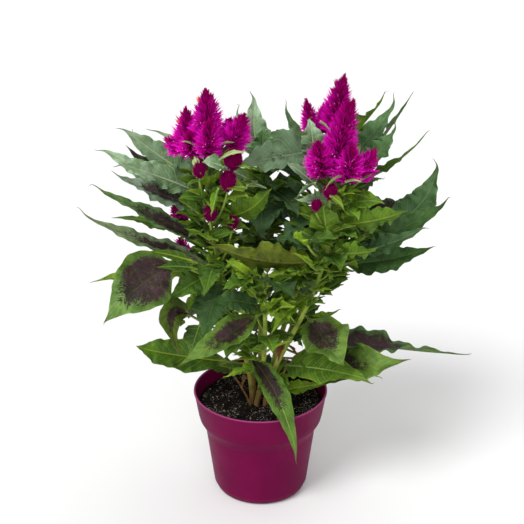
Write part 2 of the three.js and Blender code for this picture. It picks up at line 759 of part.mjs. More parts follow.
const holder = new THREE.Group();
holder.name = "potted_soil";
const holes = Object.values(STEMS).map(({ foot }) => ({
  x: foot[0],
  y: foot[1],
  radius: STEM_RADIUS.foot,
  depth: ROOT_DEPTH,
}));
holes.push({ x: WITHERED.foot[0], y: WITHERED.foot[1], radius: WITHERED.radius, depth: ROOT_DEPTH / 2 });
holder.add(node("pot", makePot(), COLOURS.pot, 0.45));
holder.add(node("soil", makeSoil(holes), COLOURS.soil, 0.95));

const foliage = new THREE.Group();
foliage.name = "foliage";
for (const name of Object.keys(STEMS)) {
  foliage.add(node(name, fuse(stemSolids(name)), COLOURS.leaf, 0.55));
}
foliage.add(node("withered_shoot", witheredShoot(), COLOURS.dry, 0.8));

const flowers = new THREE.Group();
flowers.name = "flowers";
for (const name of Object.keys(PLUMES)) {
  flowers.add(node(name, makePlume(name), COLOURS.plume, 0.7));
}

const celosia = new THREE.Group();
celosia.name = "plume_celosia";
celosia.add(holder, foliage, flowers);
export default celosia;
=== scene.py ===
"""A potted plume celosia, dressed around its CAD frame.

The tables below are the plant's, in millimetres, as its CAD source has them; meshes are made in metres.
The plant's front faces -Y and Z is up.
"""
import math
from collections import namedtuple

import bpy
import numpy as np
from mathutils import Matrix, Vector, noise


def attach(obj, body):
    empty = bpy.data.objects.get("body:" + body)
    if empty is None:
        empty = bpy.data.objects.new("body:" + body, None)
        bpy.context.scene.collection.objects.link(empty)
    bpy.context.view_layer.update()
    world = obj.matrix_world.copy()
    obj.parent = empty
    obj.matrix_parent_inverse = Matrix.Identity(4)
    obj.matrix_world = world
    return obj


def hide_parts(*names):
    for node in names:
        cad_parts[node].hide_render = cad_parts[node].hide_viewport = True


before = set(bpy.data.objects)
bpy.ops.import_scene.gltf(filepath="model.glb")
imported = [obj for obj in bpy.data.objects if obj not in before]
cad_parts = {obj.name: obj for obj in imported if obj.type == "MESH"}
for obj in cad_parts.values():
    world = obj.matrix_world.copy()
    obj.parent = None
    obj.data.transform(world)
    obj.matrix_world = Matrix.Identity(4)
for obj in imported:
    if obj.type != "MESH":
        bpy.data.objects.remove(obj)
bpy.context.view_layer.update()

MM = 0.001

# ---------- camera
# A 524 x 524 picture taken from in front and above; FOCAL is in pixels.
PICTURE = 524
FOCAL = 1200
SENSOR = 36
EYE = Vector((1.4, -946.7, 626.8)) * MM
LOOK_AT = Vector((1.4, 0, 221)) * MM

lens = bpy.data.cameras.new("camera")
lens.sensor_width = SENSOR
lens.lens = SENSOR * FOCAL / PICTURE
camera = bpy.data.objects.new("camera", lens)
camera.location = EYE
camera.rotation_euler = (LOOK_AT - EYE).to_track_quat("-Z", "Y").to_euler()
bpy.context.scene.collection.objects.link(camera)
bpy.context.scene.camera = camera

# ---------- the plant's tables
SOIL_TOP = 86
STEM_START = 88
GOLDEN_ANGLE = 137.5

# A stem: (foot in the soil, the two control points that bend it, top, young leaves). Its young leaves:
# (height of the lowest, height of the highest, how many, azimuth of the first).
STEMS = {
    "left": ((-7.5, -3), ((-8, -8, 150), (-44, -20, 215)), (-44, -20, 311), (150, 288, 8, 60)),
    "left_back": ((-6, 5), ((-8, 10, 150), (-56, 16, 205)), (-50, 14, 300), (150, 290, 7, 150)),
    "front": ((-3.5, -9), ((4, -15, 125), (5, -42, 170)), (3, -42, 229), (102, 224, 8, 290)),
    "right": ((4.5, -7.5), ((10, -14, 150), (58, -32, 190)), (63, -28, 303), (150, 290, 8, 20)),
    "right_side": ((9, -1), ((16, 2, 150), (45, 4, 200)), (92, -2, 252), (140, 240, 7, 220)),
    "right_back": ((7, 5.5), ((12, 14, 160), (58, 26, 220)), (61, 22, 330), (150, 290, 7, 70)),
    "back": ((0.5, 8), ((-2, 30, 150), (4, 52, 215)), (2, 52, 298), (150, 280, 7, 150)),
}
# Side shoots that bear a leaf or a flower head, by stem: (height on the stem, tip x, y, z)
TWIGS = {
    "left": [
        (286, -22, -38, 317), (262, -26, -43, 301), (272, -49, -39, 310), (232, -41, -36, 273),
        (226, -23, -35, 265), (214, -65, -38, 236), (160, -52, -34, 182),
    ],
    "left_back": [(222, -64, -8, 259), (205, -65, -7, 232)],
    "right": [(262, 55, -48, 296), (235, 36, -56, 264), (262, 44, -52, 287), (262, 45, -18, 314)],
}

# A leaf's last values are 0 where a row leaves them out. shoot: 0 for the stem, or the number of its twig.
Leaf = namedtuple("Leaf", "height x y z width kind arch bow roll twist reach shoot", defaults=(0,) * 6)
LEAVES = {
    "left": [
        (288, -118, -36, 323, 23, "mist", 4, 0, -50, 20),
        (276, -117, -52, 319, 24, "lavender", -4, 0, -40),
        (240, -141, -20, 298, 15, "purple_mid", 6, 8, -45, 20),
        (224, -153, -30, 279, 13, "pale_purple", -5, 0, -50),
        (236, -129, -58, 188, 50, "big_blotch", 23, 5, -60, 0, 4, 6),
        (182, -67, -48, 154, 26, "folded", 72, -22, -50, -30, 35, 7),
        (201, -72, -24, 181, 18, "lime", 8, 0, -30), (220, -77, -48, 206, 27, "green", 6, 0, -35),
        (232, -46, -54, 212, 21, "green", 8), (214, -48, -46, 162, 34, "dark", 14),
        (270, 9, -42, 306, 25, "olive", -22, 0, -60, 0, 15),
        (292, -8, -52, 300, 15, "lime", 4, 0, 20, 0, 0, 2), (290, -36, -50, 286, 14, "bright", 4),
        (256, -60, -34, 257, 21, "green", 8), (250, -27, -32, 253, 19, "dark", 8),
        (255, -7, -28, 262, 17, "lime", 8), (146, -30, -44, 150, 25, "green", 10),
        (295, -39, -45, 314, 13, "lime", 6), (155, -7, -34, 147, 19, "olive", 8),
        (140, 33, -68, 59, 21, "trail", 63, -8, 15, 0, 39),
        (180, -60, -42, 150, 20, "green", 4, 0, -20, 0, 0, 7),
    ],
    "left_back": [
        (288, -121, 40, 331, 25, "mist", -4, 0, -40), (278, -117, 66, 318, 25, "mist", 0, 0, -20),
        (272, -137, 10, 323, 24, "mist", -6, 0, -45), (258, -115, 26, 318, 30, "dusk", -5, 0, -40),
        (236, -130, 25, 253, 14, "green", 8, 0, -30), (204, -149, 5, 199, 21, "lime", 12, 0, -30),
        (118, -109, -5, 143, 29, "olive", -6, 0, -50, 0, 42), (108, -65, 35, 106, 15, "olive", 4, 0, -30),
        (276, -72, 90, 286, 36, "mist_dark", 14), (250, -92, 86, 262, 38, "green", 14),
        (205, -113, 62, 164, 38, "blotch", 14), (190, -62, 96, 188, 42, "green", 16),
        (150, -86, 56, 150, 36, "green", 14),
    ],
    "front": [
        (196, -69, -86, 166, 25, "blotch", 0, 8, -30), (196, -44, -64, 214, 19, "dark", 6, 0, -50),
        (222, 28, -76, 220, 32, "dark", 8, 0, -10), (128, -33, -28, 122, 13, "lime", 6),
        (210, -31, -62, 223, 34, "green", 12), (186, 19, -60, 215, 19, "lime", 8),
        (165, 11, -52, 159, 19, "olive", 10),
    ],
    "right": [
        (236, -44, -66, 268, 32, "brown", -20, 0, 60), (312, 40, 0, 351, 23, "mist", 0, 0, 0, 0, 0, 4),
        (286, 19, -26, 320, 13, "mist", 8, 0, -30), (284, 26, -44, 293, 11, "mist", 8, 10, -40),
        (248, 49, -62, 298, 28, "bright"), (262, 62, -70, 270, 18, "green", 4, 0, 10, 0, 0, 2),
        (258, 25, -64, 270, 14, "lime", 4, 0, -20, 0, 0, 2), (281, 102, -38, 289, 21, "bright", 7, 0, 35),
        (268, 119, -52, 289, 30, "olive", -8, 0, -60), (244, 96, -58, 257, 23, "olive", -6, 0, -50),
        (240, 66, -66, 240, 23, "green", 8), (184, 70, -66, 154, 45, "blotch", 0, 0, 10, 0, 6),
        (180, 52, -16, 187, 13, "green", 2, 0, 20), (215, 8, -34, 201, 23, "olive", 12),
        (228, 40, -52, 238, 17, "lime", 8), (282, 81, -50, 278, 23, "bright", 6),
        (238, 8, -10, 247, 34, "mist_dark", 6), (255, 80, -50, 263, 19, "green", 6),
        (222, 1, -46, 225, 21, "lime", 8), (200, 8, -50, 175, 25, "lime", 12),
    ],
    "right_side": [
        (219, 148, -14, 241, 27, "dark", -9, 0, 45), (235, 163, 2, 278, 23, "dark", -7, -6, 40),
        (246, 150, 18, 309, 29, "mist_dark", -66, 14, 40, 0, 54),
        (230, 140, -22, 264, 19, "mist_dark", -9, -8, 40), (222, 132, 20, 242, 28, "green", -4, 8, 30),
        (232, 139, 44, 262, 32, "dusk", 14, 6, 20),
        (156, 185, -14, 139, 29, "purple_mid", -12, 6, 50, -90),
        (138, 130, -34, 145, 50, "blotch", -22, -4, 30), (120, 97, -58, 136, 34, "bright", 12, -8, 30),
        (128, 107, -24, 119, 13, "olive", 10), (158, 72, 12, 170, 12, "lime", -2, 0, 20),
        (93, 60, -3, 103, 13, "lime", 2, 0, 30), (99, 26, -8, 128, 13, "lime", -4),
        (202, 76, -24, 219, 19, "lime", 4), (150, 37, -2, 139, 15, "green", 6),
    ],
    "right_back": [
        (316, -23, -12, 311, 40, "slate", 2, 0, -35), (308, 110, 52, 357, 28, "olive", -14, 8, -50),
        (288, 124, 82, 346, 25, "mist_dark", -12, 0, 10), (276, 133, 66, 354, 22, "dark", -24, 0, -20),
        (292, 116, 24, 340, 30, "mist_dark", -34, 0, 30, 0, 20), (284, 146, 42, 326, 13, "green", -30),
        (262, 105, 10, 296, 13, "green", 2, 0, 20), (304, 18, 54, 349, 21, "mist_dark", -30, 0, -20),
        (272, 62, 122, 300, 36, "mist_dark", 14), (260, 112, 96, 264, 38, "green", 14),
        (236, 126, 56, 226, 38, "blotch", 14), (205, 82, 102, 200, 42, "green", 16),
        (172, 68, 96, 158, 38, "green", 14), (140, 85, 72, 104, 34, "bright", 6),
        (258, 17, 2, 235, 34, "mist_dark", 6), (285, 36, 0, 299, 30, "mist_dark", 4),
    ],
    "back": [
        (292, -5, 76, 352, 28, "mist", -12, 8), (282, -24, 72, 340, 17, "mist", -6),
        (256, 0, -10, 244, 40, "mist_dark", 16), (270, 34, 0, 262, 36, "mist_dark", 12),
        (270, -100, 72, 320, 17, "mist", 3, 0, -20), (274, 20, 132, 300, 38, "mist_dark", 16),
        (248, -30, 126, 262, 40, "green", 16), (235, 36, 130, 224, 40, "blotch", 16),
        (205, -24, 126, 194, 42, "green", 16), (170, 16, 116, 150, 40, "green", 16),
        (138, -34, 96, 120, 36, "green", 14), (274, 39, 12, 277, 34, "mist_dark", 8),
        (258, 46, 36, 232, 40, "dark", 4), (228, -2, -6, 203, 30, "dark", 10),
        (276, 36, 36, 294, 36, "mist_dark", 14), (288, 2, 62, 323, 20, "mist_dark", 6),
        (246, -32, 4, 262, 30, "dark", 8),
    ],
}


# A plume or flower head: (its stem, the number of its twig or 0 for the stem's top, whether it is a round
# head, its spikes).
# A spike: (base x, y, z, apex x, y, z, radius, bow of its axis towards -X)
PLUMES = {
    "plume_left": ("left", 0, False, [
        (-45, -19, 332, -44, -15, 377, 18, -2),
        (-42, -34, 329, -40, -40, 359, 13, 0),
        (-60, -14, 327, -60, -9, 360, 13, 0),
        (-64, -12, 325, -77, -8, 334, 10, 0),
        (-24, -18, 330, -13, -15, 356, 15, 0),
        (-56, -26, 327, -56, -34, 347, 12, 0),
        (-28, -12, 330, -24, -9, 351, 12, 0),
    ]),
    "plume_right": ("right", 0, False, [
        (63, -29, 315, 74, -30, 373, 20, 4),
        (49, -38, 314, 45, -45, 343, 14, 0),
        (69, -41, 310, 72, -46, 339, 15, 0),
        (79, -27, 307, 93, -20, 328, 12, 0),
    ]),
    "plume_right_back": ("right_back", 0, False, [
        (62, 22, 332, 69, 15, 381, 16, 1),
        (44, 28, 328, 38, 30, 356, 10, 0),
        (52, 28, 328, 53, 30, 352, 10, 0),
    ]),
    "flower_head_left_1": ("left", 1, True, [(-22, -38, 319, -21, -40, 333, 8, 0)]),
    "flower_head_left_2": ("left", 2, True, [(-26, -43, 303, -25, -45, 317, 7, 0)]),
    "flower_head_left_3": ("left", 3, True, [(-49, -39, 312, -48, -41, 324, 5, 0)]),
    "flower_head_left_4": ("left", 4, True, [(-41, -36, 275, -40, -38, 285, 6, 0)]),
    "flower_head_left_5": ("left_back", 1, False, [(-64, -8, 261, -73, -10, 274, 9, 0)]),
    "flower_head_left_6": ("left_back", 2, False, [(-65, -7, 234, -68, -8, 246, 8, 0)]),
    "flower_head_left_7": ("left", 5, True, [(-23, -35, 267, -22, -37, 276, 5, 0)]),
    "flower_head_right_1": ("right", 1, True, [(55, -48, 298, 56, -50, 308, 6, 0)]),
    "flower_head_right_2": ("right", 3, True, [(44, -52, 289, 45, -54, 297, 4, 0)]),
}

# The pot's section, (radius, height), up its outside and down its inside.
POT_PROFILE = [
    (0, 0), (11, 0), (12, 2), (33.5, 2), (34.5, 0), (36.5, 0), (39.8, 1.5), (42.5, 7), (49.4, 60),
    (50.8, 64), (54.8, 71), (56, 76), (59.3, 95.8), (60, 96.6), (59.7, 98), (58.6, 98), (58, 97.2),
    (54.5, 76.4), (48.9, 64.4), (47.9, 60.2), (41, 7.6), (38.6, 3.8), (0, 3.8),
]
DRAIN = {"count": 6, "ring": 27, "radius": 4.5}
FOOT_NOTCH = {"count": 4, "width": 22, "height": 1.6, "turn": 5}
SOIL_SIDE = [(38.3, 4.1), (40.6, 7.8), (47.5, 60.3), (48.3, 64.6), (53.9, 76.8)]
SOIL_RIM = 55.4
WITHERED = {"foot": (-9, -14), "bend": (-12, -14, 100), "top": (-28, -14, 126), "radius": 1.1}
DRY_STUB = {"from": 106, "tip": (-14, -17, 119), "radius": 2.2}

# Small leaves close under the plumes and in gaps: their root's x, y, z, then a leaf's values from x on.
BRACTS = {
    "left": [
        (-49, -35, 335, -63, -38, 341, 2.6, "bract", 3), (-34, -33, 336, -20, -38, 340, 3, "bract", 2),
        (-33, -44, 327, -10, -47, 334, 5, "bract", 6, 0, 20),
        (-52, -36, 327, -47, -44, 315, 4.5, "bract", 4, -2, 40),
        (-29, -46, 322, -46, -52, 328, 15, "mist", 3, 0, -35),
        (-22, -40, 321, -7, -46, 320, 6, "lime", 3, 0, 10),
        (-11, -42, 303, -27, -50, 305, 14, "lime", 3, 0, -25),
        (-33, -46, 305, -39, -52, 282, 11, "bright", 3, 0, 20),
        (-11, -44, 306, 6, -50, 305, 9, "mist", 3, 0, -20),
        (-48, -44, 311, -59, -50, 306, 9, "bright", 3, 0, 20),
        (-52, -33, 234, -94, -42, 249, 8, "olive", 3, 0, -50),
        (-52, -36, 230, -86, -48, 236, 9, "green", 4, 0, -40),
        (-46, -30, 272, -74, -30, 291, 11, "olive", 5, 0, -40),
        (-44, -32, 290, -66, -46, 296, 12, "green", 4, 0, -30),
    ],
    "right": [
        (64, -48, 316, 50, -52, 304, 5, "bract", 5, 0, 20), (67, -52, 312, 80, -56, 313, 4, "bract", 3),
        (47, -34, 356, 55, -36, 349, 2.2, "bract", 2), (44, -48, 310, 28, -54, 299, 9, "mist", 3, 0, 20),
        (55, -54, 301, 67, -60, 291, 7, "lime", 3, 0, 10),
        (46, -34, 301, 18, -44, 326, 10, "mist", 4, 0, -50),
        (22, -15, 151, 15, -22, 135, 15, "rust", 5, 0, 30),
        (24, -17, 150, 33, -20, 139, 9, "rust", 3, 0, -30),
    ],
    "right_back": [
        (42, 12, 294, 12, -4, 307, 19, "mist_dark", 4, 0, -40),
        (38, 10, 286, 22, -10, 300, 17, "green", 4, 0, -30),
    ],
}


# ---------- colours
# A kind of leaf: (upper face low down, upper face towards the tip, lower face, veins, and for a stained
# leaf its dark patch: strength, where along the blade, half-length, half-width). The lower face's more
# saturated yellow-green is partly its real colour and partly painted light shining through the blade.
KINDS = {
    "mist": (0x6E8E64, 0xAAC4A2, 0x546C2C, 0xB0C296),
    "slate": (0x5C7656, 0x7C9674, 0x54682C, 0x92A880, (0.4, 0.45, 0.25, 0.5)),
    "mist_dark": (0x406438, 0x5C8050, 0x4E6414, 0x76925C),
    "lavender": (0x607A5C, 0x8AA086, 0x54642E, 0x92A084, (0.8, 0.4, 0.4, 0.7)),
    "purple_mid": (0x486C34, 0x648844, 0x566C1A, 0x706854, (1.15, 0.3, 0.3, 0.95)),
    "pale_purple": (0x70865C, 0x96B276, 0x647A24, 0x887C74, (0.95, 0.3, 0.3, 0.75)),
    "blotch": (0x4E6A14, 0x6E8E3C, 0x4E6608, 0x78923C, (1.2, 0.3, 0.28, 0.8)),
    "big_blotch": (0x426014, 0x72944A, 0x4E6608, 0x6E883C, (1.7, 0.28, 0.36, 0.9)),
    "trail": (0x54781E, 0x6C9232, 0x4E6608, 0x92B254, (1.5, 0.1, 0.38, 0.8)),
    "folded": (0x547008, 0x5C780E, 0x6E8414, 0x682C30, (1.2, 0.35, 0.4, 0.42)),
    "lime": (0x789C1A, 0x88AC28, 0x7C9C12, 0xACC454),
    "bright": (0x587A10, 0x6E9020, 0x5C7A0E, 0x9CC460),
    "green": (0x3E600E, 0x567A1A, 0x546E0A, 0x789A3E),
    # dark: a darker green; on the leaves set deep in the foliage it also stands for painted shade there
    "dark": (0x305022, 0x3E622A, 0x425A08, 0x4E6E2E),
    "olive": (0x42660C, 0x568010, 0x507208, 0x96AC32),
    "brown": (0x465C12, 0x88A41E, 0x606C0E, 0x828832, (0.6, 0.4, 0.5, 0.5)),
    "dusk": (0x2C3E20, 0x405830, 0x4A5E12, 0x586246, (1.2, 0.5, 0.45, 0.8)),
    "rust": (0x88462C, 0xA05C3A, 0x78422C, 0xA06E4C),
    "bract": (0x9EB870, 0xC4CE90, 0x8CA854, 0xD6DEA8),
}
# mm that a drying tip is bent aside
TIP_HOOK = {"mist": 5, "mist_dark": 5, "slate": 4, "lavender": 4, "purple_mid": 4, "pale_purple": 4}
# how far the margin ruffles, against a plain leaf's
LIVELINESS = {
    "blotch": 0.4, "big_blotch": 0.7, "trail": 0.5, "folded": 0.4, "bright": 0.4, "pale_purple": 1.9,
}
YOUNG_KINDS = ("lime", "green", "olive", "bright", "dark")
ROSETTE_KINDS = ("lime", "bright", "green", "olive", "lime")


def rgb(code):
    """A screen colour, 0xRRGGBB, as the linear colour that a shader takes."""
    c = np.array((code >> 16, code >> 8 & 255, code & 255)) / 255
    return np.where(c <= 0.04045, c / 12.92, ((c + 0.055) / 1.055) ** 2.4)


PETIOLE_GREEN = rgb(0x809646)
DRY_TIP = rgb(0x785C38)
STEM_HEIGHTS = (86, 100, 124, 180, 340)
STEM_COLOURS = [rgb(code) for code in (0x7A5834, 0x967C40, 0x969C3C, 0x8C9E38, 0x7C963E)]

DEEP = rgb(0x64003A)
BODY = rgb(0xC0007C)
# HOT: hot pink, used on the plumes mostly as a painted highlight on their flanks
HOT = rgb(0xFF1ADE)
DARK_TIP = rgb(0x940054)
DOT_PINK = rgb(0xFF96E0)
NECK = rgb(0x6E3C3C)
VELVET = rgb(0x860050)
FADED_TINTS = [BODY, rgb(0xEC4650), rgb(0xFA7850), rgb(0xFFAA78)]

PEAT = rgb(0x221C19)
PERLITE = rgb(0xE8E2D6)
BARK = rgb(0x684A30)
DRY_BROWN = rgb(0x846438)
DRY_TINTS = [rgb(0x966E46), rgb(0xC49668), rgb(0xD6AA7C), rgb(0xE0B88C)]


# ---------- helpers
def unit(v):
    return v / np.maximum(np.linalg.norm(v, axis=-1, keepdims=True), 1e-12)


def smooth(low, high, x):
    t = np.clip((np.asarray(x, float) - low) / (high - low), 0, 1)
    return t * t * (3 - 2 * t)


def mix(a, b, t):
    return a + (b - a) * np.asarray(t)[..., None]


def angles(sides):
    return 2 * np.pi * np.arange(sides) / sides


def level_ring(r, z, sides):
    """A level ring of points round the pot's axis."""
    a = angles(sides)
    return np.stack([r * np.cos(a), r * np.sin(a), z + 0 * a], axis=-1)


def compass(azimuth):
    return np.array([math.cos(azimuth), math.sin(azimuth), 0])


def turned(points, angle):
    """Points turned about the pot's axis."""
    c, s = math.cos(angle), math.sin(angle)
    return points @ np.array([(c, s, 0), (-s, c, 0), (0, 0, 1)])


def random_from(seed):
    """The CAD source's seeded draw (mulberry32), so that young leaves stand where its solids do."""
    state = seed

    def draw():
        nonlocal state
        state = (state + 0x6D2B79F5) & 0xFFFFFFFF
        t = (state ^ (state >> 15)) * (1 | state) & 0xFFFFFFFF
        t = (t + (t ^ (t >> 7)) * (61 | t)) & 0xFFFFFFFF ^ t
        return (t ^ (t >> 14)) / 4294967296

    return draw


class Curve:
    """A Bezier curve of two to four control points."""

    def __init__(self, *points):
        self.control = [np.array(p, float) for p in points]

    def at(self, t):
        return self.blend(self.control, t)

    def tangent(self, t):
        steps = [b - a for a, b in zip(self.control, self.control[1:])]
        return unit(self.blend(steps, t) + 0 * np.asarray(t, float)[..., None])

    @staticmethod
    def blend(points, t):
        t = np.asarray(t, float)[..., None]
        while len(points) > 1:
            points = [a + (b - a) * t for a, b in zip(points, points[1:])]
        return points[0]

    def length(self):
        points = self.at(np.linspace(0, 1, 41))
        return float(np.linalg.norm(np.diff(points, axis=0), axis=1).sum())

    def at_height(self, height):
        low, high = 0.0, 1.0
        for _ in range(30):
            t = (low + high) / 2
            if self.at(t)[2] < height:
                low = t
            else:
                high = t
        return self.at((low + high) / 2)


def cross_axes(direction):
    """Two unit vectors square to each direction and to each other."""
    direction = np.atleast_2d(direction)
    u = np.cross(np.array([0.0, 1.0, 0.0]), direction)
    u[np.sum(u * u, axis=1) < 0.01] = (1, 0, 0)
    u = unit(u - direction * np.sum(u * direction, axis=1)[:, None])
    return u, np.cross(direction, u)


def around(u, v, a):
    """For each pair of axes u and v, the directions at angles a from u towards v."""
    return u[:, None] * np.cos(a)[:, None] + v[:, None] * np.sin(a)[:, None]


# ---------- mesh building
NO_VEIN = (0, 0, 0, 0)
NO_NET = (0.5, 9, 0)


class Shell:
    """Gathers the points, faces and point attributes of one piece, in millimetres."""

    def __init__(self):
        self.points, self.faces = [], []
        self.tint, self.vein, self.net = [], [], []
        self.count = 0

    def add(self, points, faces, tint, vein=NO_VEIN, net=NO_NET):
        """vein: a colour and its strength. net: side-vein phase, distance from the midrib, dark patch."""
        n = len(points)
        self.points.append(points)
        self.faces.extend(face + self.count for face in faces)
        self.tint.append(np.broadcast_to(tint, (n, 3)))
        self.vein.append(np.broadcast_to(vein, (n, 4)))
        self.net.append(np.broadcast_to(net, (n, 3)))
        self.count += n

    def add_rings(self, rings, tip, tint, vein=NO_VEIN, net=NO_NET):
        """A closed skin over rings of equal count, drawn to a point at tip where one is given."""
        m, n = rings.shape[:2]
        k = np.arange(n)
        following = (k + 1) % n
        lows = (np.arange(m - 1) * n)[:, None]
        quads = np.stack([lows + k, lows + following, lows + n + following, lows + n + k], axis=-1)
        points = rings.reshape(-1, 3)
        last = (m - 1) * n
        if tip is None:
            end = (last + k)[None, :]
        else:
            points = np.vstack([points, tip])
            end = np.stack([last + k, last + following, np.full(n, m * n)], axis=-1)
        self.add(points, [quads.reshape(-1, 4), end, k[::-1][None, :]], tint, vein, net)

    def build(self, name, material, smooth_angle=40):
        faces = [row for block in self.faces for row in block.tolist()]
        mesh = bpy.data.meshes.new(name)
        mesh.from_pydata((np.vstack(self.points) * MM).tolist(), [], faces)
        tint = np.hstack([np.vstack(self.tint), np.ones((self.count, 1))])
        store(mesh, "tint", "FLOAT_COLOR", "color", tint)
        store(mesh, "vein", "FLOAT_COLOR", "color", np.vstack(self.vein))
        store(mesh, "net", "FLOAT_VECTOR", "vector", np.vstack(self.net))
        mesh.shade_smooth()
        mesh.set_sharp_from_angle(angle=math.radians(smooth_angle))
        return place(name, mesh, material)


def store(mesh, name, kind, field, values):
    attribute = mesh.attributes.new(name, kind, "POINT")
    attribute.data.foreach_set(field, np.ascontiguousarray(values, dtype=np.float32).ravel())


def place(name, mesh, material):
    mesh.validate()
    mesh.materials.append(material)
    piece = bpy.data.objects.new(name, mesh)
    bpy.context.scene.collection.objects.link(piece)
    return piece


def stand_for(piece, node):
    """The piece rides on the part and stands for this CAD node."""
    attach(piece, "root")
    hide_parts(node)


# ---------- materials
class Nodes:
    """A material's node tree with short calls for the nodes used here."""

    def __init__(self, name, roughness, specular):
        self.material = bpy.data.materials.new(name)
        self.material.use_nodes = True
        self.tree = self.material.node_tree
        self.shader = self.tree.nodes["Principled BSDF"]
        self.shader.inputs["Roughness"].default_value = roughness
        self.shader.inputs["Specular IOR Level"].default_value = specular

    def add(self, kind, inputs=(), **properties):
        node = self.tree.nodes.new(kind)
        for key, value in properties.items():
            setattr(node, key, value)
        for socket, value in dict(inputs).items():
            self.set(node.inputs[socket], value)
        return node

    def set(self, socket, value):
        if isinstance(value, bpy.types.NodeSocket):
            self.tree.links.new(value, socket)
        elif socket.type == "RGBA":
            socket.default_value = (*map(float, value), 1)
        else:
            socket.default_value = value

    def attribute(self, name, field="Color"):
        return self.add("ShaderNodeAttribute", attribute_name=name).outputs[field]

    def math(self, operation, a, b=0.0):
        return self.add("ShaderNodeMath", {0: a, 1: b}, operation=operation).outputs[0]

    def plus(self, a, b):
        return self.math("ADD", a, b)

    def minus(self, a, b):
        return self.math("SUBTRACT", a, b)

    def times(self, a, b):
        return self.math("MULTIPLY", a, b)

    def ramp(self, value, low, high, to_low=0.0, to_high=1.0):
        inputs = {"Value": value, "From Min": low, "From Max": high, "To Min": to_low, "To Max": to_high}
        return self.add("ShaderNodeMapRange", inputs, interpolation_type="SMOOTHSTEP").outputs["Result"]

    def blend(self, a, b, factor, mode="MIX"):
        inputs = {0: factor, 6: a, 7: b}
        return self.add("ShaderNodeMix", inputs, data_type="RGBA", blend_type=mode).outputs[2]

    def where(self):
        return self.add("ShaderNodeTexCoord").outputs["Object"]

    def noise(self, scale, detail, roughness=0.55, vector=None):
        at = vector or self.where()
        inputs = {"Vector": at, "Scale": scale, "Detail": detail, "Roughness": roughness}
        return self.add("ShaderNodeTexNoise", inputs).outputs["Fac"]

    def bump(self, height, distance, strength=1.0):
        inputs = {"Height": height, "Distance": distance, "Strength": strength}
        return self.add("ShaderNodeBump", inputs).outputs["Normal"]

    def finish(self, colour, roughness=None, normal=None):
        for socket, value in (("Base Color", colour), ("Roughness", roughness), ("Normal", normal)):
            if value:
                self.set(self.shader.inputs[socket], value)
        return self.material


def leaf_material():
    n = Nodes("leaf", 0.5, 0.22)
    tint = n.attribute("tint")
    net = n.add("ShaderNodeSeparateXYZ", {0: n.attribute("net", "Vector")})
    phase, across, patch = net.outputs
    fine = n.noise(700, 3)

    # side veins, the panels between them, the midrib and the net of small veins
    from_vein = n.math("PINGPONG", phase, 0.5)
    side_vein = n.ramp(from_vein, 0.02, 0.13, 1, 0)
    midrib = n.ramp(n.math("ABSOLUTE", across), 0.3, 1.0, 1, 0)
    cells = n.add("ShaderNodeCombineXYZ", {0: n.times(phase, 3.2), 1: n.times(across, 0.4)}).outputs[0]
    mesh_net = n.add("ShaderNodeTexVoronoi", {"Vector": cells, "Scale": 1.4}, feature="DISTANCE_TO_EDGE")
    small_vein = n.ramp(mesh_net.outputs["Distance"], 0.02, 0.12, 1, 0)
    body = n.blend(tint, (0.4, 0.5, 0.3), n.ramp(n.noise(95, 2), 0.36, 0.68, 0, 0.85), "MULTIPLY")
    # painted highlight: the panels between the side veins are painted paler and bluer, as light catching
    # the quilted panels
    body = n.blend(body, (1.4, 1.4, 1.5), n.times(n.ramp(from_vein, 0.05, 0.5), 0.5), "MULTIPLY")
    body = n.blend(body, (1.0, 1.0, 0.8), n.times(small_vein, 0.025), "ADD")

    # the purple stain, with feathered edges and flecks
    streaks = n.minus(n.noise(1.9, 4, 0.65, cells), 0.5)
    feather = n.plus(n.minus(n.noise(150, 5, 0.7), 0.5), streaks)
    stain_edge = n.plus(patch, n.times(feather, 1.7))
    stain_edge = n.plus(stain_edge, n.times(side_vein, 0.16))
    stained = n.times(n.ramp(stain_edge, 0.36, 0.64), n.ramp(patch, 0.02, 0.3))
    fleck = n.plus(n.noise(230, 5, 0.75), n.times(streaks, 0.5))
    speck = n.ramp(fleck, 0.32, 0.46, 0.5, 1)
    purple = n.blend(rgb(0x220916), rgb(0x40202E), n.ramp(n.noise(60, 5, 0.7), 0.38, 0.66))
    body = n.blend(body, purple, n.times(n.times(stained, speck), 0.95))

    lines = n.times(n.math("MAXIMUM", midrib, n.times(side_vein, 0.42)), n.attribute("vein", "Alpha"))
    lines = n.times(lines, n.minus(1, n.times(stained, 0.9)))
    body = n.blend(body, n.attribute("vein"), lines)
    height = n.plus(n.times(lines, -0.6), n.times(small_vein, -0.3))
    height = n.plus(height, n.times(fine, 0.45))
    return n.finish(body, n.ramp(fine, 0.2, 0.8, 0.38, 0.58), n.bump(height, 0.0008, 0.9))


def floret_material():
    n = Nodes("florets", 0.6, 0.03)
    streak = n.noise(900, 3)
    body = n.blend(n.attribute("tint"), (0.5, 0.35, 0.5), n.ramp(streak, 0.5, 0.8, 0, 0.5), "MULTIPLY")
    return n.finish(body, n.ramp(streak, 0.2, 0.8, 0.5, 0.7), n.bump(streak, 0.0003, 0.6))


def earthy_material(name, roughness, specular, grain_noise, dark, low, high, depth):
    """Grainy matter: the tint, darkened where its grain is high."""
    n = Nodes(name, roughness, specular)
    grain = n.noise(*grain_noise)
    body = n.blend(n.attribute("tint"), dark, n.ramp(grain, low, high), "MULTIPLY")
    return n.finish(body, None, n.bump(grain, depth))


LIP_HIGHLIGHT = (0.0968, 0.0978)  # m: the pot's colour is painted paler from here up, a painted highlight along the rim's lip
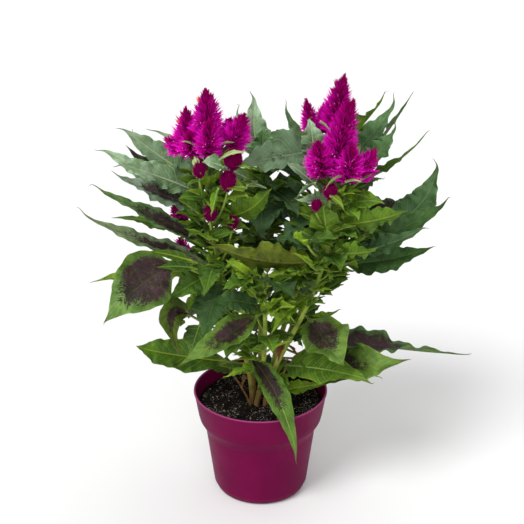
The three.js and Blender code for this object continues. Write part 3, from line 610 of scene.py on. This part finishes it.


def pot_material():
    n = Nodes("magenta plastic", 0.46, 0.05)
    speckle = n.noise(2600, 2)
    cloud = n.noise(28, 3)
    scuff = n.ramp(n.noise(140, 6, 0.75), 0.66, 0.78)
    body = n.blend(rgb(0x6A063C), rgb(0x620538), n.ramp(cloud, 0.35, 0.65))
    body = n.blend(body, rgb(0x8C3264), n.times(scuff, 0.08))
    height = n.add("ShaderNodeSeparateXYZ", {0: n.where()}).outputs["Z"]
    # painted highlight: the lip is painted a paler pink
    body = n.blend(body, rgb(0xB4548C), n.times(n.ramp(height, *LIP_HIGHLIGHT), 0.6))
    roughness = n.plus(n.ramp(cloud, 0.3, 0.7, 0.42, 0.5), n.times(scuff, 0.2))
    return n.finish(body, roughness, n.bump(speckle, 0.00012, 0.5))


def floor_material():
    n = Nodes("studio floor", 0.9, 0.2)
    return n.finish(n.blend((0.88, 0.88, 0.88), (0.86, 0.86, 0.86), n.noise(2, 2)))


LEAF = leaf_material()
FLORETS = floret_material()
DRY = earthy_material("dry stem", 0.8, 0.2, (500, 4), (0.4, 0.33, 0.28), 0.4, 0.7, 0.0008)
PLASTIC = pot_material()
MIX = earthy_material("potting mix", 0.95, 0.15, (1500, 4, 0.7), (0.3, 0.28, 0.27), 0.35, 0.65, 0.001)


# ---------- leaves
PETIOLE = 1.3  # mm, half a leaf stalk's width
STALK = 0.12  # share of the midrib that is stalk
FOLD = math.radians(18)
WAVE = 0.2  # height of the margin's waves, against the blade's half-width
WAVES = 2.6  # from foot to tip
CALM = 0.35  # share of the waves and ruffles that a small leaf has
WIDEST = 0.9**0.9 * 1.7**1.7 / 2.6**2.6  # greatest value of s**0.9 * (1 - s)**1.7
ACROSS = 15  # points from margin to margin of one face
STATION = 1.9  # mm along the midrib
BLADE_HALF = 0.22  # mm, half the thickness of a blade
VEIN_PITCH = 8.0  # mm from side vein to side vein
VEIN_SWEEP = 0.16  # share of the blade by which a side vein leans towards the tip


def half_width(s, width):
    return PETIOLE * (1 - s) + (width / 2) * s**0.9 * (1 - s) ** 1.7 / WIDEST


def midrib_of(root, leaf):
    tip = np.array([leaf.x, leaf.y, leaf.z], float)
    way = (tip - root) * (1, 1, 0)
    way = unit(way) if np.linalg.norm(way) >= 1 else np.array([1.0, 0, 0])
    side = np.array([-way[1], way[0], 0])
    chord = tip - root
    middle = root + chord / 2 + side * leaf.bow + unit(chord) * leaf.reach + (0, 0, leaf.arch)
    return Curve(root, middle, tip), side


def ended(values, last):
    """Values of the points, ring by ring, and then of the tip."""
    return np.vstack([values.reshape(-1, values.shape[-1]), last])


def add_leaf(shell, root, leaf, index, rng, small=False):
    """One leaf: a folded blade with waved margins, sunken veins and a ridged midrib below."""
    curve, side = midrib_of(root, leaf)
    length = curve.length()
    count = max(9 if small else 12, int(length / STATION))
    t = np.linspace(0, 1, count + 1)[:-1]
    centre, tangent = curve.at(t), curve.tangent(t)
    across = unit(side - tangent * (tangent @ side)[:, None])
    t = t[:, None]
    turn = np.radians(leaf.roll + leaf.twist * t)
    left = across * np.cos(turn) + np.cross(tangent, across) * np.sin(turn)
    up = np.cross(tangent, left)

    # s, down the columns, runs from the foot of the blade to its tip
    s = np.clip((t - STALK) / (1 - STALK), 0, 1)
    blade = smooth(0, 0.06, s)
    half = np.where(s > 0, half_width(s, leaf.width), PETIOLE * 0.8)
    half = half * (1 + 0.02 * np.sin(40 * s + rng.uniform(0, 6)) * blade)
    lively = CALM if small else LIVELINESS.get(leaf.kind, 1.0)

    # c, along the rows, runs from the left margin over the top to the right margin and back underneath
    over = np.linspace(1, -1, 7 if small else ACROSS)
    c = np.concatenate([over, over[-2:0:-1]])
    out = np.abs(c)
    on_top = np.arange(len(c)) < len(over)
    margin = out > 0.999
    aside = c * half
    wave = np.sin(2 * np.pi * (WAVES * s + index * 0.37 + np.where(c >= 0, 0, 0.45))) * out**1.6
    wave = (CALM if small else 1) * WAVE * half * wave
    shift = np.where(c >= 0, rng.uniform(0, 6), rng.uniform(0, 6))
    ruffle = np.sin(42 * s + shift) + 0.5 * np.sin(77 * s + 2 * shift)
    ruffle = lively * np.minimum(0.18 * half, 2.2) * out**2 * ruffle
    shift = np.where(c >= 0, rng.uniform(0, 6), rng.uniform(0, 6))
    scallop = 0.06 * np.sin(2 * np.pi * 2.7 * s + shift) + 0.02 * np.sin(2 * np.pi * 6.7 * s - shift)
    pairs = max(4, round(length / VEIN_PITCH))
    phase = pairs * (s - VEIN_SWEEP * out**1.3) + np.where(c >= 0, 0, 0.5)
    puff = lively * 0.6 * (0.5 - 0.5 * np.cos(2 * np.pi * phase)) * 4 * out * (1 - out)
    rise = (wave + ruffle + puff * np.minimum(1, half / 8)) * blade
    rise = half * np.sin(FOLD * blade) * out**1.1 + rise

    rib = 0.75 * np.exp(-((aside / 0.8) ** 2)) * (1 - 0.8 * s)
    stalk = (1 - blade) * np.sqrt(np.maximum(1 - c**2, 0))
    above = BLADE_HALF * blade + stalk - 0.25 * rib * blade
    below = BLADE_HALF * blade + stalk * 1.1 + rib * blade
    thick = np.where(on_top, above, -below) * ~margin
    curl = up * rng.uniform(-2.5, 3.5) + left * rng.uniform(-3, 3)
    curl = curl * smooth(0.84, 1, s) * (1 - smooth(0.97, 1, s))
    hook = TIP_HOOK.get(leaf.kind, 0) * (-1) ** index * (left + 0.4 * up) * smooth(0.86, 1, s) ** 2
    breadth = aside * (1 + lively * scallop * out) * np.cos(FOLD * blade)
    rings = left[:, None] * breadth[..., None] + up[:, None] * (rise + thick)[..., None]
    rings = (centre + curl + hook)[:, None] + rings

    top, towards_tip, under, line = (rgb(code) for code in KINDS[leaf.kind][:4])
    top = mix(top, towards_tip, smooth(0.35, 0.9, s)) * rng.uniform(0.74, 1.2)
    # the lower face's more saturated yellow-green is partly its real colour and partly painted light
    # shining through the blade
    tint = np.where(on_top[:, None], top, under * rng.uniform(0.9, 1.1))
    tint = mix(tint, PETIOLE_GREEN, 1 - smooth(0, 0.08, s))
    tint = mix(tint, DRY_TIP, smooth(0.9, 0.99, s))
    tint = tint * np.where(margin, 1.35, 1)[:, None]
    strength = np.broadcast_to(0.85 * (1 - s) ** 0.4, aside.shape)
    vein = np.concatenate([np.broadcast_to(line, tint.shape), strength[..., None]], axis=-1)
    stain = 0 * aside
    for amount, middle, extent, reach in KINDS[leaf.kind][4:]:
        stain = amount * np.exp(-(((s - middle) / extent) ** 2)) * (1 - (out / reach) ** 2)
        stain = np.clip(stain, 0, 1.2) * np.where(on_top, 1, 0.55)
    net = np.stack([phase, aside, stain], axis=-1)
    tip = curve.at(1.0) + hook[-1] * 1.3
    shell.add_rings(rings, tip, ended(tint, DRY_TIP * 0.8), ended(vein, NO_VEIN), ended(net, NO_NET))


def young_leaves(trunk, young, seed):
    start, stop, count, first = young
    draw = random_from(seed)
    for k in range(count):
        height = start + (stop - start) * k / (count - 1)
        root = trunk.at_height(height)
        azimuth = math.radians(first + k * GOLDEN_ANGLE + 24 * (draw() - 0.5))
        length = 20 + 14 * draw()
        rise = length * (0.1 + 0.5 * draw())
        width = 9 + 4 * draw()
        tip = root + compass(azimuth) * length + (0, 0, rise)
        yield Leaf(height, *tip, width, YOUNG_KINDS[(k + seed) % len(YOUNG_KINDS)], 5)


CROWN = 198  # mm: above this the leaf joints are crowded with young shoots


def side_shoots(shell, trunk, young, rng):
    """Short leafy shoots in the leaf joints: a twig with a rosette of small leaves at its end."""
    start, stop, _, first = young
    index = 0
    low, crown = np.arange(start + 8, CROWN, 16), np.arange(max(start + 8, CROWN), stop + 1, 4.2)
    for k, height in enumerate(np.concatenate([low, crown])):
        root = trunk.at_height(height + rng.uniform(-1.5, 1.5))
        azimuth = math.radians(first + 70 + k * GOLDEN_ANGLE)
        out = compass(azimuth)
        end = root + out * rng.uniform(6, 15) + (0, 0, rng.uniform(4, 12))
        add_tube(shell, Curve(root, root + out * 4, end), np.linspace(*SHOOT_RADIUS, 9), 6, stem_tint)
        for leaf in range(rng.integers(4, 7)):
            turn = azimuth + rng.uniform(-1.7, 1.7)
            reach = rng.uniform(12, 27)
            tip = end + (compass(turn) + (0, 0, rng.uniform(-0.1, 0.9))) * reach
            kind = ROSETTE_KINDS[(k + leaf) % len(ROSETTE_KINDS)]
            width = reach * rng.uniform(0.3, 0.44)
            small_leaf = Leaf(0, *tip, width, kind, 3, rng.uniform(-3, 3), rng.uniform(-50, 50))
            add_leaf(shell, end, small_leaf, index, rng, small=True)
            index += 1


# ---------- stems
STEM_SEED = 11
STEM_RADIUS = (2.5, 1.5)  # mm, at the foot and at the top
TWIG_RADIUS = (1.3, 0.9)
SHOOT_RADIUS = (0.8, 0.5)
STEM_SIDES = 15
STEM_RINGS = 91
STEM_RIB = 0.09


def stem_tint(points):
    return np.stack([np.interp(points[:, 2], STEM_HEIGHTS, band) for band in zip(*STEM_COLOURS)], axis=-1)


def add_tube(shell, curve, radii, sides, tint_of, rib=0):
    """A tube with a ring for each of its radii, and with five ribs of this height against them."""
    t = np.linspace(0, 1, len(radii))
    a = angles(sides)
    r = radii[:, None] * (1 + rib * np.cos(5 * a))
    rings = curve.at(t)[:, None] + around(*cross_axes(curve.tangent(t)), a) * r[..., None]
    shell.add_rings(rings, None, tint_of(rings.reshape(-1, 3)))


def leafy_stem(number, name):
    foot, bends, top, young = STEMS[name]
    rng = np.random.default_rng(number + STEM_SEED)
    trunk = Curve((*foot, STEM_START), *bends, top)
    shoots = [trunk]
    for height, *tip in TWIGS.get(name, ()):
        start, end = trunk.at_height(height), np.array(tip, float)
        middle = start + (end - start) * (0.6, 0.6, 0.3)
        shoots.append(Curve(start, middle, end))
    shell = Shell()
    heights = trunk.at(np.linspace(0, 1, STEM_RINGS))[:, 2]
    leaves = [Leaf(*row) for row in LEAVES[name]]
    joints = [leaf.height for leaf in leaves if not leaf.shoot]
    swell = sum(np.exp(-(((heights - joint) / 1.8) ** 2)) for joint in joints)
    thickness = np.linspace(*STEM_RADIUS, STEM_RINGS) * (1 + 0.1 * np.clip(swell, 0, 1.5))
    add_tube(shell, trunk, thickness, STEM_SIDES, stem_tint, STEM_RIB)
    below = Curve(*((*foot, z) for z in (SOIL_TOP - 6, SOIL_TOP - 1, STEM_START + 0.5)))
    add_tube(shell, below, np.full(5, STEM_RADIUS[0] + 0.05), STEM_SIDES, stem_tint, STEM_RIB)
    for twig in shoots[1:]:
        add_tube(shell, twig, np.linspace(*TWIG_RADIUS, 25), 10, stem_tint)
    for index, leaf in enumerate([*leaves, *young_leaves(trunk, young, number)]):
        add_leaf(shell, shoots[leaf.shoot].at_height(leaf.height), leaf, index, rng)
    side_shoots(shell, trunk, young, rng)
    for row in BRACTS.get(name, ()):
        add_leaf(shell, np.array(row[:3], float), Leaf(0, *row[3:]), 0, rng, small=True)
    node = "leafy_stem_" + name
    stand_for(shell.build(node + "_fine", LEAF), node)


# ---------- plumes
TIER = 7  # mm from one tier of longer florets to the next
LIT_FLANK = np.array([1.0, 0.25, 0.0])  # florets on the two flanks along this line are painted hotter and brighter, a painted highlight on the spike's sides
NECK_HEIGHT = 4
NECK_RADIUS = 1.5
HEAD_GAP = 0.5
PLUME_SEED = 301
SPINDLE_RINGS = ((0, 0.5), (0.35, 1.0), (0.7, 0.7))  # a floret's share of length and of half-width
FADED = {"plume_left": [(-48.0, -20, 369), (-64.5, -15, 350)]}  # where a few florets have faded to orange

# How florets stand in a plume's spike and in a round head. pitch: mm between them; core: share of the
# radius; leans: degrees from level, from the foot of the spike to its top; past: reach of the tips against
# the outline; tiers: length between tiers and what a tier adds; half: mm; heat: share of the hot colour,
# which is mostly a painted highlight.
Habit = namedtuple("Habit", "pitch core leans past shortest vary tiers half heat heart base body end")
SPIKE = Habit(
    pitch=1.55, core=0.42, leans=(8, 30, 50, 74), past=1.17, shortest=3.0, vary=(0.72, 1.14),
    tiers=(0.84, 0.28), half=(0.48, 0.72), heat=1, heart=DEEP * 0.6, base=DEEP, body=BODY, end=DARK_TIP,
)
BALL = Habit(
    pitch=1.35, core=0.8, leans=(-50, 0, 20, 75), past=1.0, shortest=2.2, vary=(0.95, 1.05),
    tiers=(1, 0), half=(0.55, 0.7), heat=0.06, heart=VELVET * 0.6, base=DEEP * 0.6, body=VELVET,
    end=VELVET * 1.3,
)
GRAIN = np.array([(1, 0, 0), (0, 1, 0), (0, 0, 1), (-1, 0, 0), (0, -1, 0), (0, 0, -1)], float)
GRAIN_FACES = np.array(
    [(0, 1, 2), (1, 3, 2), (3, 4, 2), (4, 0, 2), (1, 0, 5), (3, 1, 5), (4, 3, 5), (0, 4, 5)]
)


class Spike:
    """The axis and outline of a spike or round head; t runs from its foot to its tip."""

    def __init__(self, row, ball):
        self.base, self.apex = np.array(row[:3], float), np.array(row[3:6], float)
        self.radius, self.bow = row[6:]
        self.ball = ball
        self.length = np.linalg.norm(self.apex - self.base)
        self.axis = (self.apex - self.base) / self.length
        self.u, self.v = cross_axes(self.axis)

    def centre(self, t):
        t = np.asarray(t, float)
        points = self.base + self.axis * (t * self.length)[..., None]
        points[..., 0] -= self.bow * 4 * t * (1 - t)
        return points

    def outline(self, t):
        if self.ball:
            return self.radius * np.sqrt(0.15 + 3.4 * t * (1 - t))
        return self.radius * np.minimum(1, 0.7 + 2 * t) * np.maximum(1 - t, 0) ** 0.82

    def outward(self, turn):
        return around(self.u, self.v, turn)[0]


def add_spindles(shell, start, way, length, half, tints):
    """Slim three-sided pointed florets, all at once; tints: one for each of their rings and the tip."""
    n = len(start)
    rims = around(*cross_axes(way), angles(3))
    rings = []
    for share, fat in SPINDLE_RINGS:
        centre = start + way * (length * share)[:, None]
        rings.append(centre[:, None] + rims * (half * fat)[:, None, None])
    tip = start + way * length[:, None]
    points = np.concatenate([*rings, tip[:, None]], axis=1)
    quads = []
    for low in (0, 3):
        quads += [(low + k, low + (k + 1) % 3, low + 3 + (k + 1) % 3, low + 3 + k) for k in range(3)]
    ends = [(6 + k, 6 + (k + 1) % 3, 9) for k in range(3)] + [(2, 1, 0)]
    starts = (np.arange(n) * 10)[:, None, None]
    faces = [(starts + np.array(quads)).reshape(-1, 4), (starts + np.array(ends)).reshape(-1, 3)]
    tint = np.broadcast_to(tints, (n, 4, 3))[:, [0, 0, 0, 1, 1, 1, 2, 2, 2, 3]]
    shell.add(points.reshape(-1, 3), faces, tint.reshape(-1, 3))


def add_dots(shell, spike, rng):
    """Small pale grains among the florets."""
    count = int(spike.radius * 2)
    t = rng.uniform(0.08, 0.7, count)
    turn = rng.uniform(0, 2 * np.pi, count)
    out = spike.outline(t) * rng.uniform(0.8, 0.98, count)
    at = spike.centre(t) + spike.outward(turn) * out[:, None]
    points = at[:, None] + GRAIN * rng.uniform(0.35, 0.62, count)[:, None, None]
    faces = (np.arange(count) * 6)[:, None, None] + GRAIN_FACES
    shell.add(points.reshape(-1, 3), [faces.reshape(-1, 3)], DOT_PINK)


def add_spike(shell, spike, rng):
    """One spike or round head: a core under florets set by the golden angle, evenly over its surface."""
    habit = BALL if spike.ball else SPIKE
    axis, length = spike.axis, spike.length
    t = np.linspace(0, 0.985, 22)
    rings = spike.outward(angles(20)) * (habit.core * spike.outline(t))[:, None, None]
    shell.add_rings(spike.centre(t)[:, None] + rings, spike.centre(1.0), habit.heart)

    grid = np.linspace(0, 0.99, 400)
    area = np.cumsum(spike.outline(grid) + 0.8)
    count = int(2 * np.pi * spike.outline(grid).mean() * length / habit.pitch**2)
    t = np.interp((np.arange(count) + 0.5) / count * area[-1], area, grid)
    turn = np.arange(count) * math.radians(GOLDEN_ANGLE) + rng.normal(0, 0.08, count)
    t = np.clip(t + rng.normal(0, 0.006, count), 0, 0.99)
    lean = np.radians(np.interp(t, (0, 0.15, 0.6, 1), habit.leans) + rng.normal(0, 7, count))
    out = spike.outward(turn)
    way = out * np.cos(lean)[:, None] + axis * np.sin(lean)[:, None] + rng.normal(0, 0.07, (count, 3))
    begin = habit.core * 0.85 * spike.outline(t)
    reach = (habit.past * spike.outline(t) - begin) / np.maximum(np.cos(lean), 0.5)
    reach = np.clip(reach, habit.shortest, 11.0) * rng.uniform(*habit.vary, count)
    tier = 0.5 + 0.5 * np.cos(2 * np.pi * t * length / TIER + 3 * turn)
    reach = reach * (habit.tiers[0] + habit.tiers[1] * tier)
    half = rng.uniform(*habit.half, count)

    # painted light: florets on the two flanks, lower down and on the longer tiers take the hot colour and
    # a brighter tone, a painted highlight on the spike's sides; the florets between the tiers stay darker,
    # as painted shade
    flank_highlight = smooth(0.98, 0.2, t) * (0.3 + 1.15 * np.abs(out @ LIT_FLANK)) * (0.75 + 0.5 * tier)
    hot = np.clip(flank_highlight * rng.uniform(0.25, 1.15, count), 0, 1) * habit.heat
    mid = mix(habit.body, HOT, hot * 0.55)
    end = mix(habit.end, HOT, hot)
    tone = rng.uniform(0.55, 1.1, count) * (0.76 + 0.3 * tier)
    tone = (tone + 0.6 * hot * (1.12 - tone))[:, None, None]
    tints = np.stack([np.broadcast_to(habit.base, (count, 3)), mid, (mid + end) / 2, end], axis=1) * tone
    start = spike.centre(t) + out * begin[:, None]
    add_spindles(shell, start, unit(way), reach, half, np.clip(tints, 0, 1))
    if spike.ball:
        return
    crown = unit(rng.normal(0, 0.16, (9, 3)) + axis)
    start = np.repeat([spike.centre(0.93)], 9, axis=0)
    tints = [DEEP, BODY, DARK_TIP, DARK_TIP]
    add_spindles(shell, start, crown, np.full(9, length * 0.04 + 1.5), np.full(9, 0.6), tints)
    add_dots(shell, spike, rng)


def neck_tint(points):
    return np.broadcast_to(NECK, points.shape)


def plume(number, name):
    stem, shoot, ball, spikes = PLUMES[name]
    end = TWIGS[stem][shoot - 1][1:] if shoot else STEMS[stem][2]
    rng = np.random.default_rng(number + PLUME_SEED)
    foot = np.array(end, float) + (0, 0, HEAD_GAP - 1)
    hub = foot + (0, 0, NECK_HEIGHT + 1)
    shell = Shell()
    add_tube(shell, Curve(foot, (foot + hub) / 2, hub), np.full(5, NECK_RADIUS), 10, neck_tint)
    for spike in (Spike(row, ball) for row in spikes):
        if len(spikes) > 1:
            branch = Curve(hub, (hub + spike.base) / 2, spike.base * 0.8 + spike.apex * 0.2)
            add_tube(shell, branch, np.full(7, NECK_RADIUS), 8, neck_tint)
        add_spike(shell, spike, rng)
    for at in FADED.get(name, ()):
        way = unit(np.array([-0.7, -0.4, 0.5]) + rng.normal(0, 0.35, (12, 3)))
        start = np.repeat([at], 12, axis=0)
        add_spindles(shell, start, way, rng.uniform(2.4, 4.6, 12), np.full(12, 0.5), FADED_TINTS)
    stand_for(shell.build(name + "_fine", FLORETS, 60), name)


# ---------- pot and soil
ROUNDING = 0.55  # mm, at each corner of the pot's section
POT_SIDES = 144
SOIL_SIDES = 120
SOIL_SEED = 7


def rounded(profile):
    """The profile with its corners rounded off, without its two ends on the axis."""
    points = [np.array(p, float) for p in profile]
    out = []
    for before, corner, after in zip(points, points[1:], points[2:]):
        a, b = before - corner, after - corner
        back = min(ROUNDING, np.linalg.norm(a) * 0.4, np.linalg.norm(b) * 0.4)
        bend = Curve(corner + unit(a) * back, corner, corner + unit(b) * back)
        out.extend(bend.at(np.linspace(0, 1, 4)))
    return out


def cut(piece, cutters):
    for cutter in cutters:
        modifier = piece.modifiers.new("cut", "BOOLEAN")
        modifier.operation = "DIFFERENCE"
        modifier.solver = "MANIFOLD"
        modifier.object = cutter
    graph = bpy.context.evaluated_depsgraph_get()
    mesh = bpy.data.meshes.new_from_object(piece.evaluated_get(graph))
    piece.modifiers.clear()
    piece.data = mesh
    for cutter in cutters:
        bpy.data.objects.remove(cutter)


def pot_cutters():
    """What the drain holes and the foot ring's notches take out of the pot, as rings by name."""
    drum = np.stack([level_ring(DRAIN["radius"], z, 24) for z in (-5, 8)])
    for i, at in enumerate(level_ring(DRAIN["ring"], 0, DRAIN["count"])):
        yield f"hole_{i}", drum + at
    w, h = FOOT_NOTCH["width"] / 2, FOOT_NOTCH["height"]
    inner = np.array([(32.0, -w, -h), (32.0, w, -h), (32.0, w, h), (32.0, -w, h)])
    block = np.stack([inner, inner + (20, 0, 0)])
    for i in range(FOOT_NOTCH["count"]):
        yield f"notch_{i}", turned(block, math.radians(FOOT_NOTCH["turn"] + 360 * i / FOOT_NOTCH["count"]))


def plastic(name, rings, smooth_angle):
    shell = Shell()
    shell.add_rings(rings, None, (1, 1, 1))
    return shell.build(name, PLASTIC, smooth_angle)


def make_pot():
    rings = [level_ring(r, z, POT_SIDES) for r, z in rounded(POT_PROFILE)]
    piece = plastic("pot_fine", np.stack(rings), 60)
    cut(piece, [plastic(name, rings, 40) for name, rings in pot_cutters()])
    piece.data.set_sharp_from_angle(angle=math.radians(40))
    stand_for(piece, "pot")


def soil_height(x, y):
    low = 1.5 * math.sin(x * 0.21 + 1.2) * math.cos(y * 0.19) + 0.8 * math.sin(x * 0.43 - y * 0.37)
    crumbs = 1.5 * noise.noise(Vector((x, y, 3)) * 0.22) + 1.1 * noise.noise(Vector((x, y, 9)) * 0.6)
    return SOIL_TOP - 0.6 + low + crumbs


def add_crumbs(shell, rng, count, size, stretch, colours, lift, drift, gather=0.5):
    """Loose grains in drifts on the soil: lumpy six-pointed bits of uneven size.

    lift: height above the soil, against their size; drift: how bare it is between the drifts;
    gather: 0.5 for an even spread and less for more of them towards the rim.
    """
    placed = 0
    while placed < count:
        r = (SOIL_RIM - 2) * rng.uniform(0, 1) ** gather
        a = rng.uniform(0, 2 * math.pi)
        x, y = r * math.cos(a), r * math.sin(a)
        if noise.noise(Vector((x, y, size[1] * 40)) * 0.07) < rng.uniform(-0.4, drift):
            continue
        placed += 1
        s = rng.uniform(*size)
        shape = GRAIN * rng.uniform(0.7, 1.3, (6, 1)) * s * (stretch, 1, 0.8)
        shape = turned(shape, rng.uniform(0, math.pi))
        shade = colours[rng.integers(len(colours))] * rng.uniform(0.6, 1.1)
        shell.add(shape + (x, y, soil_height(x, y) + lift * s), [GRAIN_FACES], shade)


def make_soil():
    rng = np.random.default_rng(SOIL_SEED)
    rings = [level_ring(r, z, SOIL_SIDES) for r, z in SOIL_SIDE]
    for r in np.linspace(SOIL_RIM, 1.2, 44):
        ring = level_ring(r, 0, SOIL_SIDES)
        ring[:, 2] = [soil_height(x, y) for x, y, _ in ring]
        if r > SOIL_RIM - 1:
            ring[:, 2] = np.minimum(ring[:, 2], SOIL_TOP - 1)
        rings.append(ring)
    rings = np.stack(rings)
    shade = np.array([0.75 + 0.9 * noise.noise(Vector(p) * 0.5) for p in rings.reshape(-1, 3)])
    shell = Shell()
    shell.add_rings(rings, None, PEAT * np.clip(shade, 0.3, 1.6)[:, None])
    dark = [PEAT, PEAT * 0.6, PEAT * 1.7, BARK * 0.5]
    white = [PERLITE, PERLITE * 0.8, PERLITE * 0.5]
    add_crumbs(shell, rng, 900, (0.5, 1.5), 1.3, dark, lift=0.3, drift=-0.4)
    add_crumbs(shell, rng, 2600, (0.14, 0.46), 1, white, lift=0.9, drift=0.4, gather=0.36)
    add_crumbs(shell, rng, 110, (0.5, 0.9), 1, [PERLITE, PERLITE * 0.7], lift=0.5, drift=0.1, gather=0.4)
    add_crumbs(shell, rng, 260, (0.2, 0.42), 6, [BARK, BARK * 0.7, BARK * 1.6], lift=1.2, drift=0.4)
    stand_for(shell.build("soil_fine", MIX, 50), "soil")


# ---------- withered shoot
DRY_SEED = 5
DRY_FLORETS = 70


def dry_tint(points):
    return DRY_BROWN * (0.8 + 0.25 * np.sin(points[:, 2:3] * 0.9))


def withered_shoot():
    rng = np.random.default_rng(DRY_SEED)
    foot = np.array([*WITHERED["foot"], float(STEM_START)])
    radius = WITHERED["radius"]
    curve = Curve(foot, WITHERED["bend"], WITHERED["top"])
    stub = Curve(curve.at_height(DRY_STUB["from"]), DRY_STUB["tip"])
    shell = Shell()
    add_tube(shell, curve, np.linspace(radius, 0.6 * radius, 31), 10, dry_tint)
    below = Curve(*(foot + (0, 0, z) for z in (-8, -3, 0.5)))
    add_tube(shell, below, np.full(5, radius), 10, dry_tint)
    add_tube(shell, stub, 0.9 + (DRY_STUB["radius"] - 1.1) * np.linspace(0, 1, 13) ** 2, 10, dry_tint)
    n = DRY_FLORETS
    start = np.repeat([stub.at(0.86)], n, axis=0)
    way = unit(stub.tangent(1.0) * 0.7 + rng.normal(0, 0.6, (n, 3)))
    tints = np.array(DRY_TINTS) * rng.uniform(0.6, 1.1, (n, 1, 1))
    add_spindles(shell, start, way, rng.uniform(1.6, 3.0, n), rng.uniform(0.3, 0.5, n), tints)
    stand_for(shell.build("withered_shoot_fine", DRY, 60), "withered_shoot")


# ---------- all the pieces
make_pot()
make_soil()
withered_shoot()
for stem_number, stem_name in enumerate(STEMS, 1):
    leafy_stem(stem_number, stem_name)
for plume_number, plume_name in enumerate(PLUMES, 1):
    plume(plume_number, plume_name)


# ---------- floor and lights
def make_floor():
    half = 40.0
    mesh = bpy.data.meshes.new("floor")
    corners = [(-half, -half, 0), (half, -half, 0), (half, half, 0), (-half, half, 0)]
    mesh.from_pydata(corners, [], [(0, 1, 2, 3)])
    place("floor", mesh, floor_material())


def soft_sun(name, at, strength, angle):
    """A wide, even light that shines from this side towards the pot."""
    light = bpy.data.lights.new(name, "SUN")
    light.energy = strength
    light.angle = math.radians(angle)
    lamp = bpy.data.objects.new(name, light)
    lamp.location = at
    lamp.rotation_euler = (Vector((0, 0, 0.2)) - Vector(at)).to_track_quat("-Z", "Y").to_euler()
    bpy.context.scene.collection.objects.link(lamp)


make_floor()
soft_sun("key", (-0.9, -1.1, 2.0), 2.0, 26)
soft_sun("front", (0.2, -2.0, 0.9), 0.8, 50)
soft_sun("back", (0.6, 0.9, 2.0), 0.4, 40)
world = bpy.data.worlds.new("studio")
bpy.context.scene.world = world
world.use_nodes = True
background = world.node_tree.nodes["Background"]
background.inputs["Color"].default_value = (1, 1, 1, 1)
background.inputs["Strength"].default_value = 0.55
bpy.context.scene.view_settings.view_transform = "Standard"
